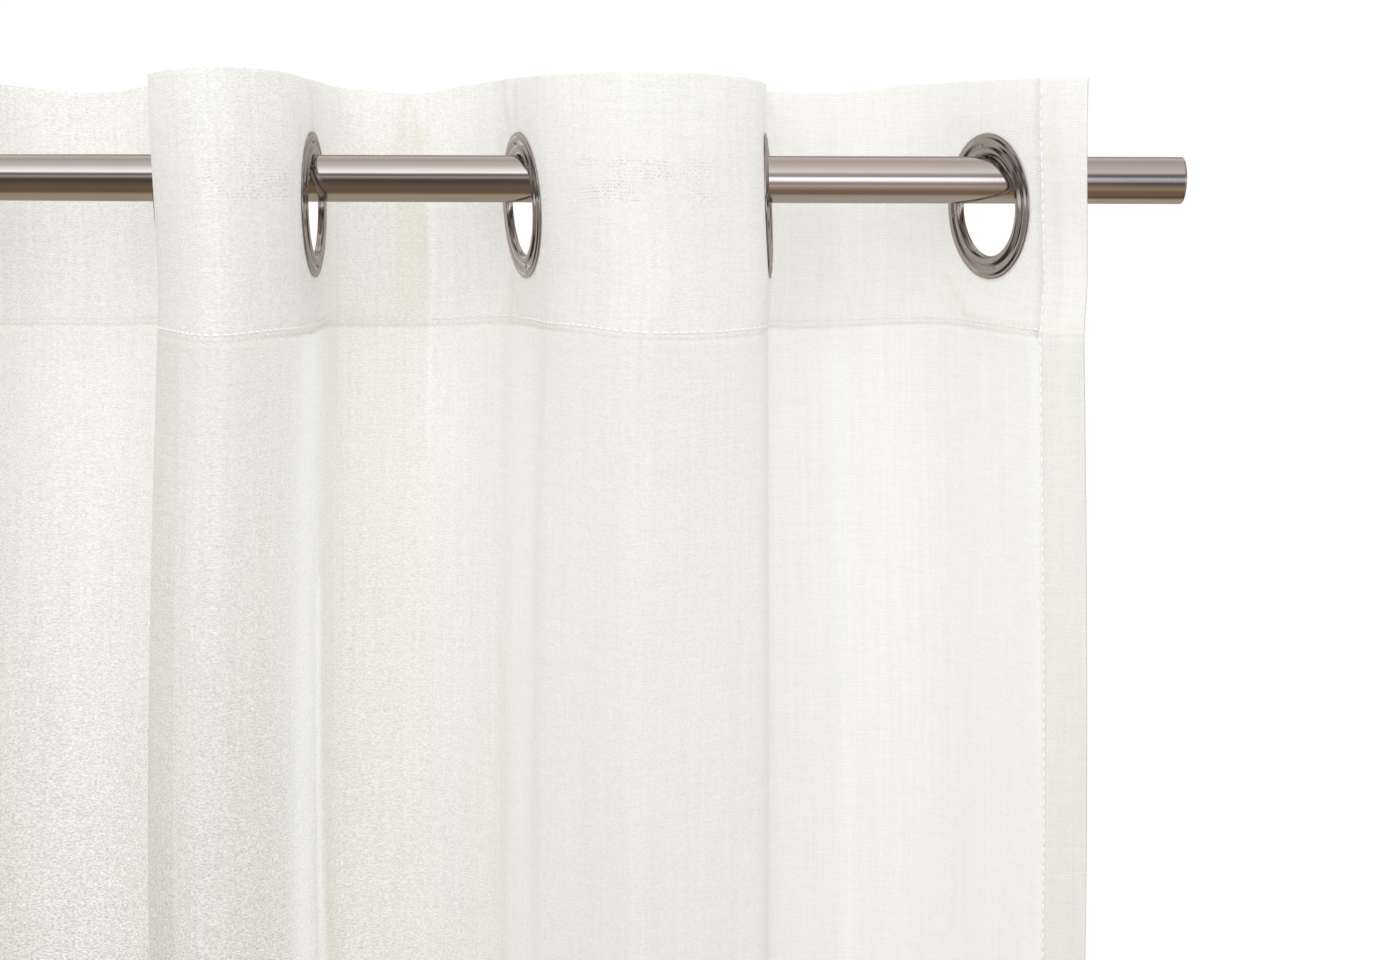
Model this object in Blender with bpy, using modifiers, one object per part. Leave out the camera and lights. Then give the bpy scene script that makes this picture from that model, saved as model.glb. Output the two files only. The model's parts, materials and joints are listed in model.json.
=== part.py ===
"""Sheer eyelet curtain, hanging gathered on a round metal rod.

One light curtain panel, cut 1.40 m wide and 2.45 m long, hangs in uneven upright folds
from eight metal eyelets threaded on a 19 mm rod. A doubled heading band stiffens its top
100 mm. The rod lies along X with its axis through the origin, half way along it, the
curtain's right side faces -Y, and everything is in metres with +Z up.
"""

from math import atan2, cos, pi, radians, sin, tanh

import bmesh
import bpy
from mathutils import Matrix, Vector
import numpy as np

# Rod
ROD_LENGTH = 0.780
ROD_RADIUS = 0.0095
ROD_SIDES = 48
ROD_END_ROUNDING = 0.0008
ROD_BEVEL_ANGLE = radians(60.0)
ROD_SHARP_ANGLE = radians(40.0)

# Cloth as cut and hemmed, laid flat
FLAT_WIDTH = 1.400
FLAT_DROP = 2.450
SIDE_HEM = 0.018
BOTTOM_HEM = 0.080
HEADING_HEIGHT = 0.100
CLOTH_THICKNESS = 0.0010
HEM_THICKNESS = 0.0018
BAND_THICKNESS = 0.0010
HEM_STEP = 0.001
TOUCHING_GAP = 0.0003

# Eyelets
EYELET_COUNT = 8
EDGE_TO_EYELET = 0.054
EYELET_PITCH = (FLAT_WIDTH - 2 * EDGE_TO_EYELET) / (EYELET_COUNT - 1)
HOLE_RADIUS = 0.0205
BARREL_RADIUS = 0.0218
FLANGE_RADIUS = 0.0295
WASHER_RADIUS = 0.0287
CLOTH_HOLE_RADIUS = 0.0226
CUTTER_LENGTH = 0.014
EYELET_STEPS = 20
HANGING_GAP = 0.0006
EYELET_DROP = HOLE_RADIUS - ROD_RADIUS - HANGING_GAP  # the eyelets hang on the rod

# How the cloth hangs
TOP_ABOVE_ROD = 0.038
FLAT_AT_EYELET = 0.031
FLAT_AT_FOOT = 0.014
STEPS_IN_QUARTER = 5
LEVELS_BELOW_HEADING = 12
LEVEL_EASE = 1.5
FINE_STEPS = 40

SEAM_Z = TOP_ABOVE_ROD - HEADING_HEIGHT
UNDER_EYELET_Z = -EYELET_DROP - FLAT_AT_EYELET
OVER_EYELET_Z = -EYELET_DROP + FLAT_AT_EYELET
FOOT_Z = TOP_ABOVE_ROD - FLAT_DROP
HEM_TOP_Z = FOOT_Z + BOTTOM_HEM

# The two tables that follow give lengths in millimetres.
MM = 0.001

# Columns: x on the rod, degrees that the cloth is turned from square to the rod and that
# the eyelet's top leans to the left, then how far the top edge stands over its even height
# in front of the rod, over it and behind it, then the same for the seam.
EYELETS = (
    (-306.0, 15.00, 1.0, 0.6, 1.4, 3.2, 0.5, 0.8, 1.2),
    (-212.0, 9.00, 2.0, 0.3, 1.8, 2.9, 1.4, 2.0, 2.2),
    (-118.0, 12.00, 1.0, 0.5, 1.4, 3.2, 0.6, 0.9, 1.4),
    (-24.0, 6.00, 2.0, 0.6, 1.8, 3.0, 1.2, 1.8, 2.4),
    (36.3, -1.60, 0.0, 0.7, 1.6, 2.5, 0.9, 0.6, 1.5),
    (120.9, 19.50, 3.3, 1.0, 2.4, 3.7, 3.3, 3.6, 3.3),
    (221.3, 3.20, 2.4, -1.0, 0.5, 2.2, 1.7, 1.4, 0.5),
    (311.1, 25.30, 3.1, 0.6, 1.9, 3.0, 0.8, 2.2, 3.1),
)

# Columns: x and y of the fold's crest in the heading, how much squarer its left half is
# than its right one, how far the crest has moved along X at the foot, the share of its
# depth that it still has there, the rise of the top edge half way up the fold, at its
# crest and half way down, and the same for the seam
FOLDS = (
    (-264.0, 68.0, 0.20, -10.0, 0.90, 2.4, 0.9, 2.8, 0.5, 0.1, 1.3),
    (-161.0, -72.0, -0.10, -6.0, 0.96, 0.2, -0.3, 0.4, 1.6, 0.5, 0.7),
    (-73.0, 69.0, 0.30, 4.0, 0.88, 2.6, 0.8, 2.7, 0.6, 0.1, 1.5),
    (15.0, -82.0, -0.05, -6.0, 0.93, 0.1, -0.3, 0.7, 0.9, 0.0, 1.0),
    (72.0, 67.0, 0.55, 7.0, 0.94, 2.9, 0.8, 3.4, 0.4, 0.1, 1.5),
    (170.0, -69.0, 0.00, 2.0, 1.02, 0.1, -0.5, -0.3, 2.8, 0.9, 0.7),
    (253.0, 63.0, 0.50, -4.0, 0.97, 2.2, 0.9, 3.4, -0.1, 0.2, 2.0),
)

# Rises of the top edge and of the seam at both side edges, and degrees that these lean
EDGE_RISES = (0.2, 0.7)
EDGE_LEAN = 1.5

# Degrees from the X axis at which each side edge ends, and how quickly the cloth turns to it
EDGE_ANGLES = (8.0, -2.0)
EDGE_EASE = 3.0

# How slowly the folds change below the heading, and how soon its rises die away
FOLD_EASE = 1.5
RISE_FADE = 8

# Below the heading the cloth hangs a little wider: by this share, about this x and less and
# less past this reach to either side, both in millimetres, and fully this far under the seam
SPREAD = 0.064
SPREAD_ABOUT = 194.0
SPREAD_REACH = 250.0
SPREAD_DROP = 0.30

# Fold shapes tried, from a slack one to a square one, and halvings between them
SLACKEST, SQUAREST, HALVINGS = 0.02, 1.6, 30

# Turned sections as (radius, height over the cloth's face), down the outer side first
BAND_BACK = -(CLOTH_THICKNESS + TOUCHING_GAP + BAND_THICKNESS)
WASHER_TOP = BAND_BACK - TOUCHING_GAP
WASHER_BASE = WASHER_TOP - 0.0006
LIP_TOP = WASHER_BASE - TOUCHING_GAP
EYELET_SECTION = (
    (0.0226, 0.0014),
    (0.0240, 0.0012),
    (0.0250, 0.0008),
    (FLANGE_RADIUS - 0.0008, 0.0010),
    (FLANGE_RADIUS, 0.0007),
    (FLANGE_RADIUS, TOUCHING_GAP),
    (BARREL_RADIUS, TOUCHING_GAP),
    (BARREL_RADIUS, LIP_TOP),
    (0.0238, LIP_TOP),
    (0.0236, LIP_TOP - 0.0004),
    (0.0213, LIP_TOP - 0.0005),
    (HOLE_RADIUS, LIP_TOP),
    (HOLE_RADIUS, 0.0008),
    (0.0212, 0.0013),
)
WASHER_SECTION = (
    (0.0222, WASHER_TOP),
    (WASHER_RADIUS, WASHER_TOP),
    (WASHER_RADIUS, WASHER_BASE + 0.0002),
    (WASHER_RADIUS - 0.0006, WASHER_BASE),
    (0.0222, WASHER_BASE),
)

METAL_COLOUR = (0.42, 0.38, 0.36, 1.0)
METAL_ROUGHNESS = 0.22
CLOTH_COLOUR = (0.87, 0.85, 0.77, 1.0)
CLOTH_ROUGHNESS = 0.9


# ---------------------------------------------------------------- scene and materials


def clear_scene():
    """Remove the start-up objects."""
    for thing in list(bpy.data.objects):
        bpy.data.objects.remove(thing, do_unlink=True)


def new_collection(name):
    """Add a collection under the scene's own."""
    collection = bpy.data.collections.new(name)
    bpy.context.scene.collection.children.link(collection)
    return collection


def new_material(name, colour, roughness, metallic):
    """Add a plain Principled material."""
    material = bpy.data.materials.new(name)
    material.use_nodes = True
    shader = material.node_tree.nodes["Principled BSDF"]
    shader.inputs["Base Color"].default_value = colour
    shader.inputs["Roughness"].default_value = roughness
    shader.inputs["Metallic"].default_value = metallic
    return material


def add_object(name, mesh, collection, material=None):
    """Add an object that holds a mesh to a collection."""
    thing = bpy.data.objects.new(name, mesh)
    if material:
        mesh.materials.append(material)
    collection.objects.link(thing)
    return thing


# ---------------------------------------------------------------- the cloth's line from above


def goes_to_back(number):
    """Whether the cloth, going right, passes from front to back at an eyelet."""
    return number % 2 == 0


def cloth_way(number):
    """Way along the cloth, going right, where it crosses the rod at an eyelet."""
    turn = radians(EYELETS[number][1])
    to_back = 1.0 if goes_to_back(number) else -1.0
    return np.array((sin(turn), to_back * cos(turn)))


def bend(start, start_way, end, end_way, fullness):
    """Smooth line between two points; a greater fullness makes it squarer."""
    reach = end - start
    first = start + start_way * fullness * abs(reach @ start_way)
    second = end - end_way * fullness * abs(reach @ end_way)
    share = np.linspace(0.0, 1.0, FINE_STEPS + 1)[:, None]
    rest = 1.0 - share
    return (
        rest**3 * start
        + 3.0 * rest**2 * share * first
        + 3.0 * rest * share**2 * second
        + share**3 * end
    )


def line_length(points):
    """Length of a line through points."""
    return float(np.linalg.norm(np.diff(points, axis=0), axis=1).sum())


def fold_line(start, start_way, crest, end, end_way, lean, cloth):
    """Line of one fold over its crest, as full as its length of cloth makes it."""
    along = np.array((1.0, 0.0))
    slack, square = SLACKEST, SQUAREST
    for _ in range(HALVINGS):
        fullness = (slack + square) / 2.0
        rise = bend(start, start_way, crest, along, fullness * (1.0 + lean))
        fall = bend(crest, along, end, end_way, fullness * (1.0 - lean))
        line = np.vstack((rise, fall[1:]))
        if line_length(line) < cloth:
            slack = fullness
        else:
            square = fullness
    return line


def edge_line(start, way, edge_angle, cloth):
    """Line from an eyelet's flat to the side edge, turning quickly and then slowly."""
    first_angle = atan2(way[1], way[0])
    share = (np.arange(FINE_STEPS) + 0.5) / FINE_STEPS
    angles = edge_angle + (first_angle - edge_angle) * (1.0 - share) ** EDGE_EASE
    steps = np.stack((np.cos(angles), np.sin(angles)), axis=1) * cloth / FINE_STEPS
    return np.vstack((start, start + np.cumsum(steps, axis=0)))


def hung_wider(x, level):
    """Where a place along the rod comes at a height, as the cloth hangs wider."""
    share = min(1.0, max(0.0, SEAM_Z - level) / SPREAD_DROP)
    aside = SPREAD_REACH * tanh((x - SPREAD_ABOUT) / SPREAD_REACH)
    return x + SPREAD * sin(pi / 2.0 * share) * aside


def plan_line(level):
    """The cloth's line from above, at a height."""
    fall = fall_at(level)
    flat = FLAT_AT_EYELET + (FLAT_AT_FOOT - FLAT_AT_EYELET) * fall
    margin = EDGE_TO_EYELET - flat
    between = np.arange(EYELET_COUNT - 1) + 0.5
    drift = np.interp(range(EYELET_COUNT), between, [row[3] for row in FOLDS])
    centres = [
        np.array((hung_wider(row[0] + moved * fall, level), 0.0)) * MM
        for row, moved in zip(EYELETS, drift)
    ]
    ways = [cloth_way(number) for number in range(EYELET_COUNT)]
    left_start = centres[0] - ways[0] * flat
    left = edge_line(left_start, -ways[0], radians(EDGE_ANGLES[0]) - pi, margin)
    pieces = [left[::-1]]
    for i, (crest_x, crest_y, lean, moved, depth_left, *_) in enumerate(FOLDS):
        depth_share = 1.0 + (depth_left - 1.0) * fall
        crest = np.array((hung_wider(crest_x + moved * fall, level), crest_y * depth_share)) * MM
        start = centres[i] + ways[i] * flat
        end = centres[i + 1] - ways[i + 1] * flat
        cloth = EYELET_PITCH - 2.0 * flat
        pieces.append(fold_line(start, ways[i], crest, end, ways[i + 1], lean, cloth))
    right_start = centres[-1] + ways[-1] * flat
    pieces.append(edge_line(right_start, ways[-1], radians(EDGE_ANGLES[1]), margin))
    return np.vstack(pieces)


def cloth_used(points):
    """Flat width of cloth from the left edge to each point of a line."""
    steps = np.linalg.norm(np.diff(points, axis=0), axis=1)
    return np.concatenate(((0.0,), np.cumsum(steps)))


def place_on_line(line, stations):
    """Places of flat stations on a line, and the offset there that keeps an even gap."""
    used = cloth_used(line)
    used *= FLAT_WIDTH / used[-1]
    places = np.stack([np.interp(stations, used, line[:, axis]) for axis in (0, 1)], axis=1)
    steps = np.diff(places, axis=0)
    steps /= np.linalg.norm(steps, axis=1)[:, None]
    faces = np.stack((steps[:, 1], -steps[:, 0]), axis=1)
    before = np.vstack((faces[:1], faces))
    after = np.vstack((faces, faces[-1:]))
    facing = (before + after) / np.linalg.norm(before + after, axis=1)[:, None]
    mitre = (facing * before).sum(axis=1)
    return places, facing / mitre[:, None]


# ---------------------------------------------------------------- the hung sheet


def eyelet_station(number):
    """Flat distance of an eyelet from the left edge."""
    return EDGE_TO_EYELET + EYELET_PITCH * number


def cloth_stations(start, end):
    """Flat distances from the left edge at which the sheets have an upright row of points."""
    stations = {start, end}
    stations.update((SIDE_HEM, SIDE_HEM + HEM_STEP))
    stations.update((FLAT_WIDTH - SIDE_HEM, FLAT_WIDTH - SIDE_HEM - HEM_STEP))
    fold_cloth = EYELET_PITCH - 2.0 * FLAT_AT_EYELET
    for number in range(EYELET_COUNT):
        flat_start = eyelet_station(number) - FLAT_AT_EYELET
        flat_end = eyelet_station(number) + FLAT_AT_EYELET
        stations.update((flat_start, flat_end))
        if number < EYELET_COUNT - 1:
            for step in range(1, 2 * STEPS_IN_QUARTER):
                stations.add(flat_end + fold_cloth * step / (2 * STEPS_IN_QUARTER))
    for inside in (SIDE_HEM / 2.0, (EDGE_TO_EYELET - FLAT_AT_EYELET + SIDE_HEM) / 2.0):
        stations.update((inside, FLAT_WIDTH - inside))
    return np.array(sorted(s for s in stations if start <= s <= end))


def rise_table():
    """Flat distances, and the rises of the top edge and of the seam at each."""
    edge_top, edge_seam = EDGE_RISES
    rows = [(0.0, edge_top * MM, edge_seam * MM)]
    for number, (_, _, _, *rises) in enumerate(EYELETS):
        sides = list(zip(rises[:3], rises[3:]))
        if not goes_to_back(number):
            sides.reverse()
        for offset, (top, seam) in zip((-FLAT_AT_EYELET, 0.0, FLAT_AT_EYELET), sides):
            rows.append((eyelet_station(number) + offset, top * MM, seam * MM))
        if number < len(FOLDS):
            start = eyelet_station(number) + FLAT_AT_EYELET
            rises = FOLDS[number][-6:]
            for quarter, top, seam in zip((1, 2, 3), rises[:3], rises[3:]):
                at = start + (EYELET_PITCH - 2.0 * FLAT_AT_EYELET) * quarter / 4.0
                rows.append((at, top * MM, seam * MM))
    rows.append((FLAT_WIDTH, edge_top * MM, edge_seam * MM))
    return np.array(rows).T


def heading_rise(stations, level):
    """How far the heading stands above its even height at each station of a level."""
    at, top, seam = rise_table()
    share = min(1.0, max(0.0, (level - SEAM_Z) / HEADING_HEIGHT))
    rises = np.interp(stations, at, seam + (top - seam) * share)
    return rises * (1.0 - fall_at(level)) ** RISE_FADE


def lean_aside(stations, level):
    """How far aside the heading stands at each station of a level, as its eyelets lean."""
    knots, leans = [0.0], [EDGE_LEAN]
    for number, (_, _, lean, *_) in enumerate(EYELETS):
        for offset in (-FLAT_AT_EYELET, FLAT_AT_EYELET):
            knots.append(eyelet_station(number) + offset)
            leans.append(lean)
    knots.append(FLAT_WIDTH)
    leans.append(EDGE_LEAN)
    heights = (SEAM_Z, UNDER_EYELET_Z, OVER_EYELET_Z)
    arm = np.interp(level, heights, (0.0, FLAT_AT_EYELET, -FLAT_AT_EYELET))
    return np.tan(np.radians(np.interp(stations, knots, leans))) * arm


def fall_at(level):
    """Share of the way from the heading's seam to the foot, easing in."""
    share = max(0.0, (SEAM_Z - level) / (SEAM_Z - FOOT_Z))
    return share**FOLD_EASE


def hung_sheet(name, stations, levels, behind):
    """Open sheet with a point for each station and level, behind the cloth's face."""
    bpy.ops.mesh.primitive_grid_add(
        x_subdivisions=len(stations) - 1, y_subdivisions=len(levels) - 1, size=1.0
    )
    sheet = bpy.context.object
    sheet.name = sheet.data.name = name
    points = sheet.data.vertices
    for row, level in enumerate(levels):
        places, facing = place_on_line(plan_line(level), stations)
        places = places - facing * behind
        places[:, 0] += lean_aside(stations, level)
        rises = heading_rise(stations, level)
        for column, (x, y) in enumerate(places):
            points[row * len(stations) + column].co = (x, y, level + rises[column])
    return sheet


def thicken(sheet, thickness, thin_share, is_thick):
    """Give a sheet its thickness, all of it towards the back."""
    group = sheet.vertex_groups.new(name="thickness")
    for point in sheet.data.vertices:
        group.add([point.index], 1.0 if is_thick(point.index) else thin_share, "REPLACE")
    solid = sheet.modifiers.new("thickness", "SOLIDIFY")
    solid.thickness = thickness
    solid.offset = -1.0
    solid.vertex_group = group.name
    solid.thickness_vertex_group = 0.0
    solid.use_even_offset = True
    return solid


# ---------------------------------------------------------------- pieces


def move_to(thing, collection):
    """Keep an object in one collection only."""
    for other in list(thing.users_collection):
        other.objects.unlink(thing)
    collection.objects.link(thing)


def cut_eyelet_holes(sheet, cutters):
    """Cut a round hole for each eyelet."""
    for cutter in cutters:
        hole = sheet.modifiers.new("hole", "BOOLEAN")
        hole.operation = "DIFFERENCE"
        hole.object = cutter


def make_panel(collection, material, cutters):
    """The curtain panel: one sheet, thicker along its side and bottom hems."""
    stations = cloth_stations(0.0, FLAT_WIDTH)
    levels = [FOOT_Z, HEM_TOP_Z, HEM_TOP_Z + HEM_STEP]
    drop = np.linspace(1.0, 0.0, LEVELS_BELOW_HEADING + 1)[1:] ** LEVEL_EASE
    levels += list(SEAM_Z - (SEAM_Z - HEM_TOP_Z) * drop)
    levels += [UNDER_EYELET_Z, OVER_EYELET_Z, TOP_ABOVE_ROD]
    panel = hung_sheet("panel", stations, levels, 0.0)

    def in_hem(index):
        row, column = divmod(index, len(stations))
        beside = SIDE_HEM + HEM_STEP / 2.0
        station = stations[column]
        return station < beside or station > FLAT_WIDTH - beside or row < 2

    thicken(panel, HEM_THICKNESS, CLOTH_THICKNESS / HEM_THICKNESS, in_hem)
    cut_eyelet_holes(panel, cutters)
    move_to(panel, collection)
    panel.data.materials.append(material)
    panel.data.shade_smooth()
    return panel


def make_heading_band(collection, material, cutters):
    """The second layer of the heading, behind the panel between its side hems."""
    inset = SIDE_HEM + HEM_STEP + TOUCHING_GAP
    stations = cloth_stations(inset, FLAT_WIDTH - inset)
    levels = [SEAM_Z, UNDER_EYELET_Z, OVER_EYELET_Z, TOP_ABOVE_ROD - HEM_STEP]
    band = hung_sheet("heading_band", stations, levels, CLOTH_THICKNESS + TOUCHING_GAP)
    thicken(band, BAND_THICKNESS, 1.0, lambda index: True)
    cut_eyelet_holes(band, cutters)
    move_to(band, collection)
    band.data.materials.append(material)
    band.data.shade_smooth()
    return band


def eyelet_matrix(number):
    """Place of an eyelet: local Z is the way the cloth's face looks, local X is up."""
    way = cloth_way(number)
    facing = Vector((way[1], -way[0], 0.0))
    up = Vector((0.0, 0.0, 1.0))
    across = facing.cross(up)
    matrix = Matrix((up, across, facing)).transposed().to_4x4()
    matrix = Matrix.Rotation(-radians(EYELETS[number][2]), 4, "Y") @ matrix
    matrix.translation = (EYELETS[number][0] * MM, 0.0, -EYELET_DROP)
    return matrix


def make_cutters(collection):
    """Cylinders that cut the eyelets' holes in both layers of cloth."""
    mesh = bpy.data.meshes.new("hole_cutter")
    shape = bmesh.new()
    bmesh.ops.create_cone(
        shape,
        cap_ends=True,
        segments=EYELET_STEPS,
        radius1=CLOTH_HOLE_RADIUS,
        radius2=CLOTH_HOLE_RADIUS,
        depth=CUTTER_LENGTH,
    )
    shape.to_mesh(mesh)
    shape.free()
    cutters = []
    for number in range(EYELET_COUNT):
        cutter = add_object(f"cutter_{number + 1}", mesh, collection)
        cutter.matrix_world = eyelet_matrix(number)
        cutter.hide_render = True
        cutter.display_type = "WIRE"
        cutters.append(cutter)
    return cutters


def turned_mesh(name, section):
    """Closed section at +X, to be turned about Z by a Screw modifier."""
    mesh = bpy.data.meshes.new(name)
    shape = bmesh.new()
    points = [shape.verts.new((radius, 0.0, height)) for radius, height in section]
    for first, second in zip(points, points[1:] + points[:1]):
        shape.edges.new((first, second))
    shape.to_mesh(mesh)
    shape.free()
    return mesh


def make_turned(name, mesh, number, collection):
    """One turned ring in an eyelet's place."""
    ring = add_object(name, mesh, collection)
    turn = ring.modifiers.new("turn", "SCREW")
    turn.steps = turn.render_steps = EYELET_STEPS
    turn.use_merge_vertices = True
    turn.merge_threshold = 0.00001
    turn.use_smooth_shade = True
    ring.matrix_world = eyelet_matrix(number)
    return ring


def make_eyelets(collection, material):
    """Eight eyelets, each a flanged barrel in front and a washer behind the heading."""
    front = turned_mesh("eyelet_section", EYELET_SECTION)
    back = turned_mesh("washer_section", WASHER_SECTION)
    for mesh in (front, back):
        mesh.materials.append(material)
    for number in range(EYELET_COUNT):
        make_turned(f"eyelet_{number + 1}_front", front, number, collection)
        make_turned(f"eyelet_{number + 1}_back", back, number, collection)


def make_rod(collection, material):
    """The round rod, with lightly rounded plain ends."""
    bpy.ops.mesh.primitive_cylinder_add(
        vertices=ROD_SIDES, radius=ROD_RADIUS, depth=ROD_LENGTH, rotation=(0.0, pi / 2.0, 0.0)
    )
    rod = bpy.context.object
    rod.name = rod.data.name = "rod"
    rounding = rod.modifiers.new("rounding", "BEVEL")
    rounding.width = ROD_END_ROUNDING
    rounding.segments = 1
    rounding.limit_method = "ANGLE"
    rounding.angle_limit = ROD_BEVEL_ANGLE
    move_to(rod, collection)
    rod.data.materials.append(material)
    rod.data.shade_smooth()
    rod.data.set_sharp_from_angle(angle=ROD_SHARP_ANGLE)
    return rod


def main():
    """Build the curtain."""
    clear_scene()
    curtain = new_collection("sheer_eyelet_curtain")
    cutting = new_collection("cutters")
    metal = new_material("nickel", METAL_COLOUR, METAL_ROUGHNESS, 1.0)
    cloth = new_material("voile", CLOTH_COLOUR, CLOTH_ROUGHNESS, 0.0)
    make_rod(curtain, metal)
    cutters = make_cutters(cutting)
    make_panel(curtain, cloth, cutters)
    make_heading_band(curtain, cloth, cutters)
    make_eyelets(curtain, metal)


main()
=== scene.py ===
"""Looks of a sheer voile curtain that hangs by metal eyelets on a round rod.

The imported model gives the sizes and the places. This script hangs thin cloth on its folds,
turns finer eyelets, and adds the stitching, the finishes, the studio and the camera.
"""

import json
from math import atan2, cos, pi, radians, sin, tanh

import bpy
from mathutils import Matrix, Vector
import numpy as np

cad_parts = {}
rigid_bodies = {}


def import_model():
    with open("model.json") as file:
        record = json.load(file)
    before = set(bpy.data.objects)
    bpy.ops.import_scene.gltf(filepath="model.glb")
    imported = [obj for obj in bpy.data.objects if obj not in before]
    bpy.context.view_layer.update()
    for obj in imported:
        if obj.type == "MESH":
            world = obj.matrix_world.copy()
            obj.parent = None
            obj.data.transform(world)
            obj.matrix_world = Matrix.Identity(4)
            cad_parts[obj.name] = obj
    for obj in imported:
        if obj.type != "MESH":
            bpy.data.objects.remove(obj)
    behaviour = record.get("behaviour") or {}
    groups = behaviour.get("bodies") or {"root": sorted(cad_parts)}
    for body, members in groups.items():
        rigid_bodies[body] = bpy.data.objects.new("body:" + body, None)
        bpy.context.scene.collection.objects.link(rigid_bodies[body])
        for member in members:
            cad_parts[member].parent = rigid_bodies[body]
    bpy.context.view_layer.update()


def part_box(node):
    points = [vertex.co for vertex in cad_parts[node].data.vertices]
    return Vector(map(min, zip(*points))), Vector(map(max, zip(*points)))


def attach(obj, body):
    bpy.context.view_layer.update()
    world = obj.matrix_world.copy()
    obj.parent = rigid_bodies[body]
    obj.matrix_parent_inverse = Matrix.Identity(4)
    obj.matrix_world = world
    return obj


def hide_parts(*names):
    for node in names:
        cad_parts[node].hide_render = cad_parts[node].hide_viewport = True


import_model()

bl_info = {
    "name": "Sheer eyelet curtain",
    "version": (1, 0, 0),
    "blender": (4, 5, 0),
    "location": "3D View > Sidebar > Curtain",
    "description": "Dresses a sheer eyelet curtain on its rod with cloth, metal and stitching",
    "category": "Add Mesh",
}

BODY = "root"
MM = 0.001

# ---------------------------------------------------------------- how the cloth hangs

FLAT_WIDTH = 1.400
FLAT_DROP = 2.450
EYELET_COUNT = 8
EDGE_TO_EYELET = 0.054
EYELET_PITCH = (FLAT_WIDTH - 2.0 * EDGE_TO_EYELET) / (EYELET_COUNT - 1)
FLAT_AT_EYELET = 0.031
FLAT_AT_FOOT = 0.014
HEADING_HEIGHT = 0.100
TOP_Z = 0.038
SEAM_Z = TOP_Z - HEADING_HEIGHT
FOOT_Z = TOP_Z - FLAT_DROP
EYELET_Z = -0.0104
UNDER_EYELET_Z = EYELET_Z - FLAT_AT_EYELET
OVER_EYELET_Z = EYELET_Z + FLAT_AT_EYELET
FINE_STEPS = 40

# Columns, in millimetres and degrees: x on the rod, the cloth's turn from square to the rod,
# the lean of the eyelet's top to the left, then how far the top edge stands over its even
# height in front of the rod, over it and behind it, then the same for the heading's seam
EYELETS = (
    (-306.0, 15.00, 1.0, 0.6, 1.4, 3.2, 0.5, 0.8, 1.2),
    (-212.0, 9.00, 2.0, 0.3, 1.8, 2.9, 1.4, 2.0, 2.2),
    (-118.0, 12.00, 1.0, 0.5, 1.4, 3.2, 0.6, 0.9, 1.4),
    (-24.0, 6.00, 2.0, 0.6, 1.8, 3.0, 1.2, 1.8, 2.4),
    (36.3, -1.60, 0.0, 0.7, 1.6, 2.5, 0.9, 0.6, 1.5),
    (120.9, 19.50, 3.3, 1.0, 2.4, 3.7, 3.3, 3.6, 3.3),
    (221.3, 3.20, 2.4, -1.0, 0.5, 2.2, 1.7, 1.4, 0.5),
    (311.1, 25.30, 3.1, 0.6, 1.9, 3.0, 0.8, 2.2, 3.1),
)

# Columns, in millimetres and shares: x and y of the fold's crest in the heading, how much
# squarer its left half is, how far the crest has moved at the foot, the share of its depth
# that it still has there, the rise of the top edge half way up the fold, at its crest and
# half way down, and the same for the seam
FOLDS = (
    (-264.0, 68.0, 0.20, -10.0, 0.90, 2.4, 0.9, 2.8, 0.5, 0.1, 1.3),
    (-161.0, -72.0, -0.10, -6.0, 0.96, 0.2, -0.3, 0.4, 1.6, 0.5, 0.7),
    (-73.0, 69.0, 0.30, 4.0, 0.88, 2.6, 0.8, 2.7, 0.6, 0.1, 1.5),
    (15.0, -82.0, -0.05, -6.0, 0.93, 0.1, -0.3, 0.7, 0.9, 0.0, 1.0),
    (72.0, 67.0, 0.55, 7.0, 0.94, 2.9, 0.8, 3.4, 0.4, 0.1, 1.5),
    (170.0, -69.0, 0.00, 2.0, 1.02, 0.1, -0.5, -0.3, 2.8, 0.9, 0.7),
    (253.0, 63.0, 0.50, -4.0, 0.97, 2.2, 0.9, 3.4, -0.1, 0.2, 2.0),
)

# The side edges: how far they rise at the top and at the seam in millimetres, their lean and
# the ways they point in degrees, and how soon they turn; then how the folds change and the
# rises die away on the way down
EDGE_RISES = (0.2, 0.7)
EDGE_LEAN = 1.5
EDGE_ANGLES = (8.0, -2.0)
EDGE_EASE = 3.0
FOLD_EASE = 1.5
RISE_FADE = 8

# Below the heading the cloth hangs a little wider: by this share, about this x and less and
# less past this reach to either side, both in millimetres, and fully this far under the seam
SPREAD = 0.064
SPREAD_ABOUT = 194.0
SPREAD_REACH = 250.0
SPREAD_DROP = 0.30

# Limits of a fold's fullness, and how often they are halved to fit its length of cloth
SLACKEST = 0.02
SQUAREST = 1.6
HALVINGS = 30

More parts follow.
